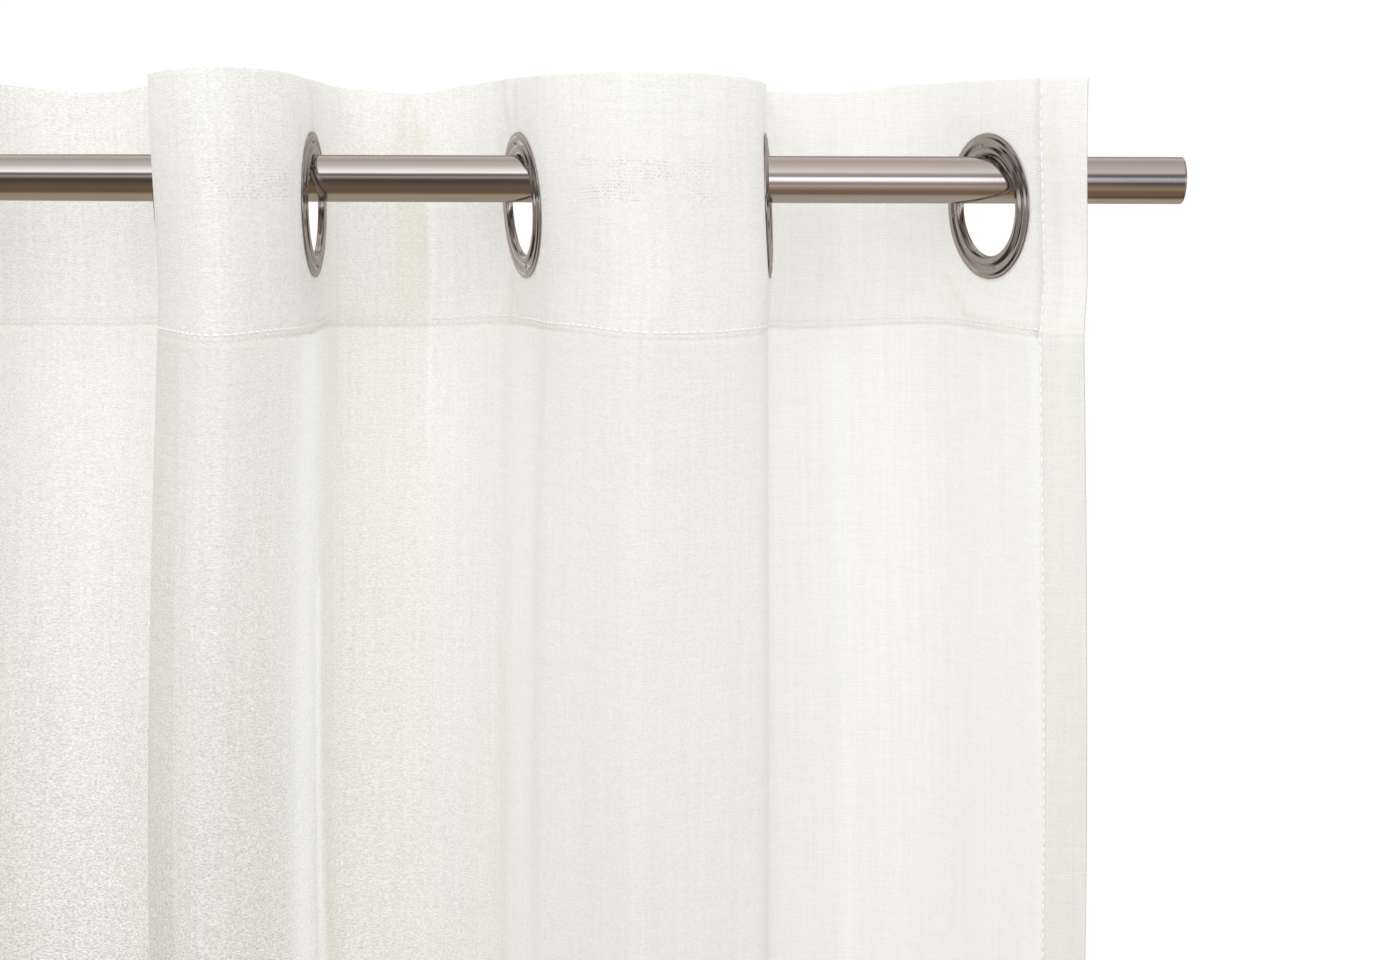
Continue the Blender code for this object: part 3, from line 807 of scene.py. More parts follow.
def voile_weave(name):
    """Plain weave with slubs: its tint, its height and how much it covers."""
    inputs = {
        "Flat place": None,
        "Thread pitch": 0.00065,
        "Slub": 1.0,
        "Grain": 3.0,
        "Crepe": 0.5,
        "Gaps": 0.25,
        "Thin spots": 0.5,
        "Row pitch": 0.0013,
    }
    group, given, result = new_group(name, inputs, ("Tint", "Height", "Cover"))
    flat = given["Flat place"]
    across, down, _ = separate(group, flat)
    wobble = calc(group, "SUBTRACT", noise(group, flat, (90.0, 35.0, 1.0), 1.0), 0.5)
    sway = product(group, wobble, 0.0022)
    threads = []
    for at in (across, down):
        thread = calc(group, "DIVIDE", calc(group, "ADD", at, sway), given["Thread pitch"])
        threads.append(calc(group, "SINE", product(group, thread, pi)))
    over = product(group, *threads)
    warp, weft = (calc(group, "ABSOLUTE", thread) for thread in threads)
    warp_height = product(group, warp, remap(group, over, -1.0, 1.0))
    weft_height = product(group, weft, remap(group, over, 1.0, -1.0))
    height = calc(group, "MAXIMUM", warp_height, weft_height)
    gap = product(group, calc(group, "SUBTRACT", 1.0, warp), calc(group, "SUBTRACT", 1.0, weft))
    thick_across = noise(group, flat, (60.0, 900.0, 1.0), 3.0, 3.1)
    thick_down = noise(group, flat, (560.0, 16.0, 1.0), 3.0, 7.7)
    slubs = calc(group, "SUBTRACT", calc(group, "ADD", thick_across, thick_down), 1.0)
    grain = calc(group, "SUBTRACT", noise(group, flat, (700.0, 1900.0, 1.0), 1.0, 1.7), 0.5)
    grain = product(group, grain, given["Grain"])
    # The crepe's ripples lift the cloth's relief and are also painted into its tint as painted shade
    crepe_relief_and_shade = noise(group, flat, (170.0, 620.0, 1.0), turn=radians(24.0), distortion=0.6)
    crepe_relief_and_shade = product(group, calc(group, "SUBTRACT", crepe_relief_and_shade, 0.5), given["Crepe"])
    uneven = product(group, calc(group, "ADD", slubs, grain), given["Slub"])
    uneven = calc(group, "ADD", uneven, crepe_relief_and_shade)
    tint = calc(group, "ADD", 1.0, product(group, uneven, 0.12))
    # Painted shade in the weave: the raised threads are tinted lighter than the hollows between them
    feed(group, result["Tint"], calc(group, "ADD", tint, product(group, height, 0.03)))
    feed(group, result["Height"], calc(group, "ADD", product(group, height, 0.6), uneven))
    waver = product(group, noise(group, flat, (40.0, 20.0, 1.0), 1.0, 5.3), 0.004)
    row = calc(group, "DIVIDE", calc(group, "ADD", down, waver), given["Row pitch"])
    rows = calc(group, "ABSOLUTE", calc(group, "SINE", product(group, row, pi)))
    rows = remap(group, rows, 0.70, 0.95, smooth=True)
    dashes = noise(group, flat, (760.0, 800.0, 1.0), 0.0, 2.9)
    patches = noise(group, flat, (46.0, 90.0, 1.0), 1.0, 8.1)
    dashes = remap(group, dashes, 0.46, 0.58, smooth=True)
    patches = remap(group, patches, 0.34, 0.54, smooth=True)
    worn = product(group, rows, dashes, patches, given["Thin spots"])
    bare = calc(group, "MAXIMUM", product(group, gap, given["Gaps"]), worn)
    feed(group, result["Cover"], calc(group, "SUBTRACT", 1.0, bare))
    return group


def painted_mark(name):
    """Soft mask along a straight line on the flat cloth, 1 on the line and 0 beside it, for the painted
    shade and painted light.
    """
    inputs = {"Flat place": None, "Start": None, "End": None, "Half width": 0.003}
    group, given, result = new_group(name, inputs, ("Mask",))
    past = vector_calc(group, "SUBTRACT", given["Flat place"], given["Start"])
    line = vector_calc(group, "SUBTRACT", given["End"], given["Start"])
    onto = vector_calc(group, "DOT_PRODUCT", past, line)
    whole = vector_calc(group, "DOT_PRODUCT", line, line)
    share = remap(group, calc(group, "DIVIDE", onto, whole), 0.0, 1.0)
    away = vector_calc(group, "DISTANCE", past, scaled(group, line, share))
    near = calc(group, "DIVIDE", away, given["Half width"])
    feed(group, result["Mask"], remap(group, near, 0.0, 1.6, 1.0, 0.0, smooth=True))
    return group


def painted_marks(tree, flat):
    """How strongly the warm painted shade shows, and how strongly the paler painted light does."""
    painted_shade, pale = 0.0, 0.0
    for start_x, start_y, end_x, end_y, half_width, strength in PAINTED_SHADE_AND_LIGHT:
        line = {
            "Flat place": flat,
            "Start": (start_x * MM, start_y * MM, 0.0),
            "End": (end_x * MM, end_y * MM, 0.0),
            "Half width": half_width * MM,
        }
        shown = product(tree, place_group(tree, painted_mark, line)["Mask"], abs(strength))
        if strength > 0.0:
            painted_shade = calc(tree, "MAXIMUM", painted_shade, shown)
        else:
            pale = calc(tree, "MAXIMUM", pale, shown)
    return painted_shade, pale


def line_mask(tree, value, centre, half_width):
    """1 along a line on the cloth, fading to 0 beside it."""
    return remap(tree, away_from(tree, value, centre), 0.0, half_width, 1.0, 0.0, smooth=True)


def rubbed_mask(tree, across, down):
    """How much the rod has rubbed the weave open."""
    worn = 0.0
    for centre, half_width, strength in RUBBED:
        beside = remap(tree, line_mask(tree, across, centre * MM, half_width * MM), 0.0, 0.4)
        worn = calc(tree, "MAXIMUM", worn, product(tree, beside, strength))
    level = line_mask(tree, down, RUBBED_DOWN, RUBBED_HALF)
    return product(tree, worn, remap(tree, level, 0.0, 0.35))


def cloth_weave(tree, cloth, flat, across, down, under_seam):
    """The weave over the whole cloth: coarser to the left and lower down."""
    coarse = product(
        tree,
        remap(tree, across, *COARSE_ACROSS, 1.0, 0.0, smooth=True),
        remap(tree, down, *COARSE_DOWN, 0.25, 1.0),
    )
    fine_edge = remap(tree, across, *FINE_EDGE, 1.0, 0.55)
    inputs = {
        "Flat place": flat,
        "Thread pitch": cloth.thread_pitch,
        "Slub": product(tree, remap(tree, coarse, 0.0, 1.0, 0.8, 1.5), cloth.slub),
        "Grain": product(tree, remap(tree, coarse, 0.0, 1.0, 2.8, 8.5), fine_edge),
        "Crepe": product(tree, under_seam, remap(tree, coarse, 0.0, 1.0, 0.35, 1.5)),
        "Gaps": cloth.gaps,
        "Thin spots": product(tree, rubbed_mask(tree, across, down), cloth.thin_spots),
    }
    return place_group(tree, voile_weave, inputs)


def blend_shaders(tree, share, first, second):
    """One shader between two."""
    shaders = {0: share, 1: first, 2: second}
    return add_node(tree, "ShaderNodeMixShader", shaders).outputs[0]


def plain_shader(tree, kind, **inputs):
    """Output of a shader node of a kind, its inputs given by name."""
    return add_node(tree, "ShaderNodeBsdf" + kind, inputs).outputs[0]


def even_cloth(tree, colour, cover, translucency):
    """Cloth as bounced light and shadows meet it: its mean colour and cover, with no weave."""
    colour = scaled(tree, colour, MEAN_TINT)
    front = plain_shader(tree, "Diffuse", Color=colour)
    through = plain_shader(tree, "Translucent", Color=colour)
    threads = blend_shaders(tree, translucency, front, through)
    return blend_shaders(tree, cover, plain_shader(tree, "Transparent"), threads)


def voile_material(name, cloth, marked):
    """Sheer ivory voile: threads that reflect and pass light, with gaps between them."""
    material, tree, shader = new_material(name)
    flat = add_node(tree, "ShaderNodeAttribute", attribute_name="flat").outputs["Vector"]
    across, down, _ = separate(tree, flat)
    under_seam = remap(tree, down, HEADING_HEIGHT, HEADING_HEIGHT + 0.004)
    # Painted light makes the single layer paler to the right, and painted shade makes it darker and warmer
    # lower down and to the left
    single = product(tree, under_seam, remap(tree, across, *PAINTED_LIGHT_RIGHT, 1.0, 0.90, smooth=True))
    left = remap(tree, across, *PAINTED_SHADE_LEFT, 1.0, 0.40)
    lower = product(tree, remap(tree, down, *PAINTED_SHADE_DOWN), left)

    def hung_colour(share):
        colour = mixed(tree, share, cloth.shade_colour, cloth.voile_colour)
        colour = mixed(tree, single, colour, cloth.single_colour)
        return mixed(tree, lower, colour, cloth.painted_shade_low_colour)

    def layered(cover):
        return remap(tree, under_seam, 0.0, 1.0, cover, cover * cloth.single_cover)

    clouds = remap(tree, noise(tree, flat, (9.0, 2.2, 1.0), 2.0, 11.0), 0.3, 0.7)
    colour = hung_colour(clouds)
    cover = layered(BASE_COVER)
    # Painted shade along creases and folds, warm with the tone of pressed creases, and painted light in
    # paler bands that also open the cloth; both fade out lower down
    if marked:
        lasting = remap(tree, down, *PAINTED_MARKS_FADE, 1.0, 0.0, smooth=True)
        painted_shade, pale = (product(tree, marks, lasting) for marks in painted_marks(tree, flat))
        colour = mixed(tree, painted_shade, colour, cloth.crease_tone_and_shade_colour)
        colour = mixed(tree, pale, colour, cloth.painted_light_colour)
        lit = product(tree, pale, under_seam)
        cover = product(tree, cover, remap(tree, lit, 0.0, 1.0, 1.0, PAINTED_LIGHT_COVER))
    # Along the seam a painted shadow of its groove, with the tone of the cloth the stitches draw in; over
    # it a painted highlight on the ridge of the doubled turned edge, which also covers more
    seam = line_mask(tree, down, HEADING_HEIGHT + 0.0004, 0.0009)
    ridge_and_highlight = line_mask(tree, down, HEADING_HEIGHT - 0.0016, 0.0016)
    colour = mixed(tree, product(tree, seam, 0.22), colour, cloth.seam_tone_and_shadow_colour)
    colour = mixed(tree, product(tree, ridge_and_highlight, 0.25), colour, cloth.painted_light_colour)
    weave = cloth_weave(tree, cloth, flat, across, down, under_seam)
    colour = scaled(tree, colour, weave["Tint"])
    doubled = product(tree, calc(tree, "MAXIMUM", ridge_and_highlight, seam), 0.98)
    cover = calc(tree, "MAXIMUM", product(tree, weave["Cover"], cover), doubled)
    normal = bumped(tree, weave["Height"], 0.35, 0.0002)
    inputs = {"Base Color": colour, "Alpha": cover, "Normal": normal, "Specular IOR Level": 0.15}
    finish_shader(tree, shader, {**inputs, "Roughness": 0.95})
    through = plain_shader(tree, "Translucent", Color=colour, Normal=normal)
    glow = blend_shaders(tree, cover, plain_shader(tree, "Transparent"), through)
    sheer = blend_shaders(tree, cloth.translucency, shader.outputs[0], glow)
    even = even_cloth(tree, hung_colour(0.5), layered(EVEN_COVER), cloth.translucency)
    path = add_node(tree, "ShaderNodeLightPath")
    straight = calc(tree, "GREATER_THAN", path.outputs["Is Camera Ray"], 0.5)
    seen = blend_shaders(tree, straight, even, sheer)
    feed(tree, tree.nodes["Material Output"].inputs["Surface"], seen)
    return material


def thread_material(cloth):
    """White sewing thread with a fine twist."""
    material, tree, shader = new_material("sewing_thread")
    place = add_node(tree, "ShaderNodeTexCoord").outputs["Object"]
    twist = noise(tree, place, (1500.0, 1500.0, 1500.0), 1.0)
    colour = mixed(tree, twist, (0.95, 0.945, 0.92), cloth.thread_colour)
    normal = bumped(tree, twist, 0.3, 0.0001)
    inputs = {"Base Color": colour, "Normal": normal, "Roughness": 0.7, "Sheen Weight": 0.2}
    finish_shader(tree, shader, inputs)
    return material


# ---------------------------------------------------------------- metal finish


def metal_wear(name):
    """Fine scratches and dulling of polished metal."""
    inputs = {"Place": None, "Scratch": 0.5, "Roughness": 0.15}
    group, given, result = new_group(name, inputs, ("Tint", "Roughness", "Height"))
    place = given["Place"]
    fine = noise(group, place, (35.0, 1400.0, 1400.0), 3.0)
    cloud = noise(group, place, (60.0, 60.0, 60.0), 3.0, 4.0)
    rubbed = remap(group, noise(group, place, (420.0, 420.0, 420.0), 2.0, 9.0), 0.60, 0.72)
    patchy = product(group, calc(group, "SUBTRACT", cloud, 0.5), 0.10)
    dull = product(group, calc(group, "ADD", rubbed, cloud), 0.05)
    feed(group, result["Tint"], calc(group, "ADD", 0.97, patchy))
    feed(group, result["Roughness"], calc(group, "ADD", given["Roughness"], dull))
    feed(group, result["Height"], product(group, fine, given["Scratch"]))
    return group


def metal_material(name, colour, roughness, scratch):
    """Polished, slightly worn nickel."""
    material, tree, shader = new_material(name)
    place = add_node(tree, "ShaderNodeTexCoord").outputs["Object"]
    wear = place_group(tree, metal_wear, {"Place": place, "Scratch": scratch, "Roughness": roughness})
    tinted = scaled(tree, tuple(colour), wear["Tint"])
    normal = bumped(tree, wear["Height"], 0.06, 0.0001)
    inputs = {"Base Color": tinted, "Normal": normal, "Roughness": wear["Roughness"], "Metallic": 1.0}
    finish_shader(tree, shader, inputs)
    return material


# ---------------------------------------------------------------- settings


class CurtainClothSettings(bpy.types.PropertyGroup):
    """Sizes and finish of the cloth."""

    side_hem: bpy.props.FloatProperty(
        name="Side hem", description="Width of the turned side hems", default=0.018, unit="LENGTH"
    )
    bottom_hem: bpy.props.FloatProperty(
        name="Bottom hem", description="Height of the turned bottom hem", default=0.080, unit="LENGTH"
    )
    thread_pitch: bpy.props.FloatProperty(
        name="Thread pitch", description="From one thread to the next", default=0.00065, unit="LENGTH"
    )
    slub: bpy.props.FloatProperty(
        name="Slub", description="Unevenness of the threads", default=1.0, subtype="FACTOR"
    )
    gaps: bpy.props.FloatProperty(
        name="Gaps", description="Openness between threads", default=0.25, subtype="FACTOR"
    )
    thin_spots: bpy.props.FloatProperty(
        name="Thin spots", description="Openness where the rod rubs", default=0.46, subtype="FACTOR"
    )
    single_cover: bpy.props.FloatProperty(
        name="Single cover", description="How closely one layer covers", default=0.94, subtype="FACTOR"
    )
    translucency: bpy.props.FloatProperty(
        name="Translucency", description="Light that the threads pass on", default=0.50, subtype="FACTOR"
    )
    voile_colour: bpy.props.FloatVectorProperty(
        name="Voile", description="Colour of the cloth", default=(0.960, 0.957, 0.938), subtype="COLOR"
    )
    shade_colour: bpy.props.FloatVectorProperty(
        name="Shade", description="Warmer colour in patches", default=(0.950, 0.945, 0.914), subtype="COLOR"
    )
    single_colour: bpy.props.FloatVectorProperty(
        name="Single", description="Colour of one layer", default=(0.888, 0.883, 0.838), subtype="COLOR"
    )
    # Painted shade: the darker, warmer colour of the cloth lower down and to the left
    painted_shade_low_colour: bpy.props.FloatVectorProperty(
        name="Lower", description="Colour lower down", default=(0.800, 0.790, 0.735), subtype="COLOR"
    )
    # Painted shade along creases and folds, with the warm tone of pressed creases
    crease_tone_and_shade_colour: bpy.props.FloatVectorProperty(
        name="Crease", description="Colour along creases", default=(0.860, 0.832, 0.710), subtype="COLOR"
    )
    # Painted light: the colour of the pale bands and of the painted highlight on the seam's ridge
    painted_light_colour: bpy.props.FloatVectorProperty(
        name="Pale", description="Colour of taut cloth", default=(0.995, 0.995, 0.990), subtype="COLOR"
    )
    # The tone of the cloth drawn in at the seam, with the painted shadow of its groove
    seam_tone_and_shadow_colour: bpy.props.FloatVectorProperty(
        name="Seam", description="Colour drawn in at the seam", default=(0.60, 0.55, 0.36), subtype="COLOR"
    )
    thread_colour: bpy.props.FloatVectorProperty(
        name="Thread", description="Colour of the sewing thread", default=(1.0, 1.0, 0.99), subtype="COLOR"
    )
    stitch_pitch: bpy.props.FloatProperty(
        name="Stitch pitch", description="From one stitch to the next", default=0.0040, unit="LENGTH"
    )
    stitch_length: bpy.props.FloatProperty(
        name="Stitch length", description="Length of a stitch that shows", default=0.0034, unit="LENGTH"
    )
    stitch_radius: bpy.props.FloatProperty(
        name="Stitch radius", description="Half the thread's thickness", default=0.00045, unit="LENGTH"
    )


class CurtainMetalSettings(bpy.types.PropertyGroup):
    """Sizes and finish of the rod and the eyelets."""

    ring_steps: bpy.props.IntProperty(name="Ring steps", description="Faces round an eyelet", default=96)
    rod_sides: bpy.props.IntProperty(name="Rod sides", description="Faces round the rod", default=128)
    rod_rounding: bpy.props.FloatProperty(
        name="Rod rounding", description="Rounding of the rod's ends", default=0.0008, unit="LENGTH"
    )
    eyelet_colour: bpy.props.FloatVectorProperty(
        name="Eyelets", description="Colour of the eyelets", default=(0.50, 0.46, 0.435), subtype="COLOR"
    )
    rod_colour: bpy.props.FloatVectorProperty(
        name="Rod", description="Colour of the rod", default=(0.56, 0.51, 0.49), subtype="COLOR"
    )
    roughness: bpy.props.FloatProperty(
        name="Roughness", description="Dullness of the metal", default=0.06, subtype="FACTOR"
    )


class CurtainStageSettings(bpy.types.PropertyGroup):
    """Studio and camera."""

    camera_place: bpy.props.FloatVectorProperty(
        name="Camera", description="Place of the camera", default=(0.194, -0.834, -0.024), unit="LENGTH"
    )
    pitch: bpy.props.FloatProperty(
        name="Pitch", description="How far the camera looks down", default=radians(6.79), subtype="ANGLE"
    )
    roll: bpy.props.FloatProperty(
        name="Roll", description="How far the camera leans", default=radians(0.15), subtype="ANGLE"
    )
    focal_pixels: bpy.props.FloatProperty(
        name="Focal length", description="In pixels of a picture 1400 wide", default=2026.6
    )
    floor_gap: bpy.props.FloatProperty(
        name="Floor gap", description="From the floor up to the curtain", default=0.015, unit="LENGTH"
    )
    front_power: bpy.props.FloatProperty(
        name="Front light", description="Power of the soft light in front", default=10.7, unit="POWER"
    )
    back_power: bpy.props.FloatProperty(
        name="Back light", description="Power of the soft light behind", default=5.0, unit="POWER"
    )
    floor_colour: bpy.props.FloatVectorProperty(
        name="Floor", description="Colour of the floor", default=(0.82, 0.81, 0.79), subtype="COLOR"
    )


# ---------------------------------------------------------------- pieces


def groove(values, centre, width):
    """1 on a line across the cloth, falling off to 0 on both sides."""
    return np.exp(-(((values - centre) / width) ** 2))


def panel_grid(cloth):
    """Flat places of the panel and its turned hems, where they hang, and how far behind."""
    turned = np.append(np.array(TURNED_ASIDE) * MM, cloth.side_hem)
    turned_up = np.append(np.array(TURNED_UP) * MM, cloth.bottom_hem)
    columns = column_stations(EDGE_INSET)
    columns = np.concatenate((-turned[::-1], (0.0,), columns, (FLAT_WIDTH,), FLAT_WIDTH + turned))
    hem_top = FOOT_Z + cloth.bottom_hem
    under_seam = SEAM_Z - np.array(UNDER_SEAM) * MM
    steps = np.linspace(0.0, 1.0, ROWS_DOWN) ** ROW_EASE
    drop = under_seam[-1] - (under_seam[-1] - hem_top) * steps
    in_hem = np.linspace(hem_top, FOOT_Z, ROWS_IN_HEM)[1:]
    hem = (FOOT_Z - turned_up[::-1], in_hem[::-1])
    rows = np.concatenate((*hem, drop[::-1][:-1], under_seam[::-1], heading_levels()))
    across, up = np.meshgrid(columns, rows)
    past_side = np.maximum(np.maximum(-across, across - FLAT_WIDTH), 0.0)
    past_foot = np.maximum(FOOT_Z - up, 0.0)
    stations = np.where(across < 0.0, -across, across)
    stations = np.where(across > FLAT_WIDTH, 2.0 * FLAT_WIDTH - across, stations)
    levels = np.where(up < FOOT_Z, 2.0 * FOOT_Z - up, up)
    layers = ease(past_side / FOLD_OVER) + 2.0 * ease(past_foot / FOLD_OVER)
    drawn_in = groove(levels, SEAM_Z + 0.0002, 0.0014)
    drawn_in += groove(stations, cloth.side_hem, 0.0015)
    drawn_in += groove(stations, FLAT_WIDTH - cloth.side_hem, 0.0015)
    drawn_in += groove(levels, hem_top, 0.0020)
    return across, up, stations, levels, FACE_DEPTH + LAYER * layers + DRAWN_IN * drawn_in


def band_grid(cloth):
    """Flat places of the heading band, and how far behind they hang."""
    columns = column_stations(cloth.side_hem + LAYER)
    rows = np.concatenate((SEAM_Z - np.array(BAND_UNDER_SEAM) * MM, heading_levels()))
    stations, levels = np.meshgrid(columns, rows)
    near_top = ease((levels - TOP_Z + 0.004) / 0.004)
    near_seam = ease((SEAM_Z + 0.004 - levels) / 0.005)
    depths = FACE_DEPTH + LAYER - BAND_EDGE_LIFT * np.maximum(near_top, near_seam)
    return stations, levels, stations, levels, depths


def hang_voile(name, grid, material, node):
    """Sheet of voile on its folds, with the eyelets' holes open, in place of a solid."""
    sheet = new_grid(name, *grid)
    open_holes(sheet, *grid[2:4])
    pick(sheet)
    bpy.ops.object.shade_smooth()
    return finish_piece(sheet, material, "voile", (node,))


class CURTAIN_OT_voile_panel(bpy.types.Operator):
    """Hang the voile panel on its folds, with its hems turned to the back"""

    bl_idname = "curtain.voile_panel"
    bl_label = "Voile panel"

    def execute(self, context):
        cloth = context.scene.curtain_cloth
        hang_voile("voile_panel", panel_grid(cloth), voile_material("voile", cloth, True), "panel")
        return {"FINISHED"}


class CURTAIN_OT_heading_band(bpy.types.Operator):
    """Hang the second layer of the heading behind the panel"""

    bl_idname = "curtain.heading_band"
    bl_label = "Heading band"

    def execute(self, context):
        cloth = context.scene.curtain_cloth
        material = voile_material("voile_band", cloth, False)
        hang_voile("heading_band_cloth", band_grid(cloth), material, "heading_band")
        return {"FINISHED"}


def stitch_route(stations, levels, depth):
    """Points on the cloth that a row of stitches follows."""
    across, up = np.broadcast_arrays(np.atleast_1d(stations), np.atleast_1d(levels))
    return hang(across.astype(float), up.astype(float), depth)


def new_guide(name, route):
    """Curve through a route's points, for a modifier to bend a row to."""
    line = bpy.data.curves.new(name, "CURVE")
    line.dimensions = "3D"
    spline = line.splines.new("POLY")
    spline.points.add(len(route) - 1)
    points = np.column_stack((route, np.ones(len(route))))
    spline.points.foreach_set("co", points.astype(np.float32).ravel())
    guide = bpy.data.objects.new(name, line)
    bpy.context.scene.collection.objects.link(guide)
    return guide


def sew(name, route, cloth, material):
    """Row of stitches along a route: one stitch, repeated and bent to it."""
    guide = new_guide(name + "_route", route)
    deselect()
    bpy.ops.mesh.primitive_uv_sphere_add(
        segments=6, ring_count=5, radius=1.0, rotation=(0.0, pi / 2.0, 0.0)
    )
    stitch = bpy.context.object
    stitch.name = stitch.data.name = name
    bpy.ops.object.transform_apply(location=True, rotation=True, scale=True)
    size = np.array((cloth.stitch_length / 2.0, cloth.stitch_radius, cloth.stitch_radius))
    start = np.array((cloth.stitch_pitch / 2.0, 0.0, 0.0))
    for point in stitch.data.vertices:
        point.co = Vector(np.array(point.co) * size + start)
    row = stitch.modifiers.new("row", "ARRAY")
    row.use_relative_offset = False
    row.use_constant_offset = True
    row.constant_offset_displace = (cloth.stitch_pitch, 0.0, 0.0)
    row.count = max(1, int(float(steps_along(route)[-1]) / cloth.stitch_pitch))
    stitch.modifiers.new("follow", "CURVE").object = guide
    pick(stitch)
    for modifier in ("row", "follow"):
        bpy.ops.object.modifier_apply(modifier=modifier)
    bpy.ops.object.shade_smooth()
    line = guide.data
    bpy.data.objects.remove(guide)
    bpy.data.curves.remove(line)
    return finish_piece(stitch, material, "voile")


class CURTAIN_OT_stitching(bpy.types.Operator):
    """Sew the heading's seam, the side hems and the bottom hem, front and back"""

    bl_idname = "curtain.stitching"
    bl_label = "Stitching"

    def execute(self, context):
        cloth = context.scene.curtain_cloth
        thread = thread_material(cloth)
        across = np.arange(cloth.side_hem, FLAT_WIDTH - cloth.side_hem, 0.002)
        down = np.arange(FOOT_Z + 0.002, TOP_Z - 0.001, 0.004)[::-1]
        aside = cloth.side_hem - SIDE_STITCH_INSET
        rows = {
            "seam": (across, SEAM_Z + STITCH_INSET),
            "foot": (across, FOOT_Z + cloth.bottom_hem - STITCH_INSET),
            "left_hem": (aside, down),
            "right_hem": (FLAT_WIDTH - aside, down),
        }
        for name, (stations, levels) in rows.items():
            for side, depth in (("", STITCH_DEPTH), ("_back", STITCH_BACK)):
                sew(f"{name}_stitches{side}", stitch_route(stations, levels, depth), cloth, thread)
        return {"FINISHED"}


# Turned sections in millimetres, as (radius, height over the cloth's face), outer side first
EYELET_SECTION = (
    (29.50, 0.05), (29.50, 0.30), (29.36, 0.42), (29.08, 0.46), (28.60, 0.44), (28.22, 0.43),
    (28.08, 0.46), (27.98, 0.52), (27.50, 0.80), (27.34, 0.90), (27.20, 0.93), (26.80, 0.94),
    (26.50, 0.93), (26.36, 0.90), (26.20, 0.85), (25.00, 0.47), (24.84, 0.43), (24.66, 0.42),
    (24.40, 0.44), (24.20, 0.56), (23.80, 0.96), (23.45, 1.18), (23.10, 1.31), (22.60, 1.36),
    (22.10, 1.34), (21.55, 1.24), (21.05, 1.02), (20.60, 0.66), (20.32, 0.20), (20.20, -0.40),
    (20.20, -1.30), (20.40, -1.58), (20.90, -1.78), (21.60, -1.88), (22.60, -1.85), (23.20, -1.74),
    (23.32, -1.60), (23.20, -1.47), (21.80, -1.45), (21.80, 0.05),
)
WASHER_SECTION = (
    (22.20, -0.95), (28.40, -0.95), (28.63, -1.02), (28.70, -1.14), (28.62, -1.27), (28.30, -1.34),
    (26.40, -1.30), (24.60, -1.33), (22.40, -1.36), (22.20, -1.28),
)
BEARING_DROP = 0.00025
MARK_RADIUS = 25.5
MARK_HEIGHT = 0.66
MARK_SIZE = 0.60
MARK_TURNS = (5.0, 96.0, 188.0, 275.0)


def turned_ring(name, section, steps):
    """Ring turned from a section about Z, its outside out."""
    deselect()
    bpy.ops.mesh.primitive_circle_add(vertices=len(section), radius=1.0, fill_type="NOTHING")
    ring = bpy.context.object
    ring.name = ring.data.name = name
    for point, (radius, height) in zip(ring.data.vertices, section):
        point.co = (radius * MM, 0.0, height * MM)
    edit(ring, "VERT")
    bpy.ops.mesh.select_all(action="SELECT")
    bpy.ops.mesh.spin(steps=steps, angle=2.0 * pi, center=(0.0, 0.0, 0.0), axis=(0.0, 0.0, 1.0))
    bpy.ops.mesh.select_all(action="SELECT")
    bpy.ops.mesh.remove_doubles(threshold=0.00001)
    bpy.ops.mesh.normals_make_consistent(inside=False)
    bpy.ops.object.mode_set(mode="OBJECT")
    return ring


def add_marks(ring):
    """Four small punched marks round an eyelet's flange, each a tiny raised ring."""
    parts = [ring]
    for turn in MARK_TURNS:
        angle = radians(turn)
        deselect()
        bpy.ops.mesh.primitive_torus_add(
            major_segments=16,
            minor_segments=6,
            major_radius=MARK_SIZE * MM,
            minor_radius=0.3 * MARK_SIZE * MM,
            location=(MARK_RADIUS * cos(angle) * MM, MARK_RADIUS * sin(angle) * MM, MARK_HEIGHT * MM),
        )
        mark = bpy.context.object
        bpy.ops.object.transform_apply(location=True, rotation=True, scale=True)
        parts.append(mark)
    deselect()
    for part in parts:
        part.select_set(True)
    bpy.context.view_layer.objects.active = ring
    bpy.ops.object.join()
    return ring


def eyelet_matrix(number):
    """Place of an eyelet: local Z is the way the cloth's face looks, local X is up."""
    way = cloth_way(number)
    facing = Vector((way[1], -way[0], 0.0))
    up = Vector((0.0, 0.0, 1.0))
    matrix = Matrix((up, facing.cross(up), facing)).transposed().to_4x4()
    matrix = Matrix.Rotation(-radians(EYELETS[number][2]), 4, "Y") @ matrix
    low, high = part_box(f"eyelet_{number + 1}_front")
    matrix.translation = (EYELETS[number][0] * MM, 0.0, (low.z + high.z) / 2.0 - BEARING_DROP)
    return matrix


class CURTAIN_OT_eyelets(bpy.types.Operator):
    """Turn an eyelet and its washer, and set a pair at each place in the heading"""

    bl_idname = "curtain.eyelets"
    bl_label = "Eyelets"

    def execute(self, context):
        metal = context.scene.curtain_metal
        material = metal_material("eyelet_nickel", metal.eyelet_colour, metal.roughness, 0.6)
        front = add_marks(turned_ring("eyelet_ring", EYELET_SECTION, metal.ring_steps))
        back = turned_ring("eyelet_washer", WASHER_SECTION, metal.ring_steps)
        for first, side in ((front, "front"), (back, "back")):
            pick(first)
            bpy.ops.object.shade_smooth_by_angle(angle=radians(50.0))
            for number in range(EYELET_COUNT):
                ring = first.copy()
                ring.data = first.data.copy()
                ring.name = ring.data.name = f"{first.name}_{number + 1}"
                context.scene.collection.objects.link(ring)
                ring.data.transform(eyelet_matrix(number))
                finish_piece(ring, material, "eyelet_metal", (f"eyelet_{number + 1}_{side}",))
            bpy.data.objects.remove(first)
        return {"FINISHED"}


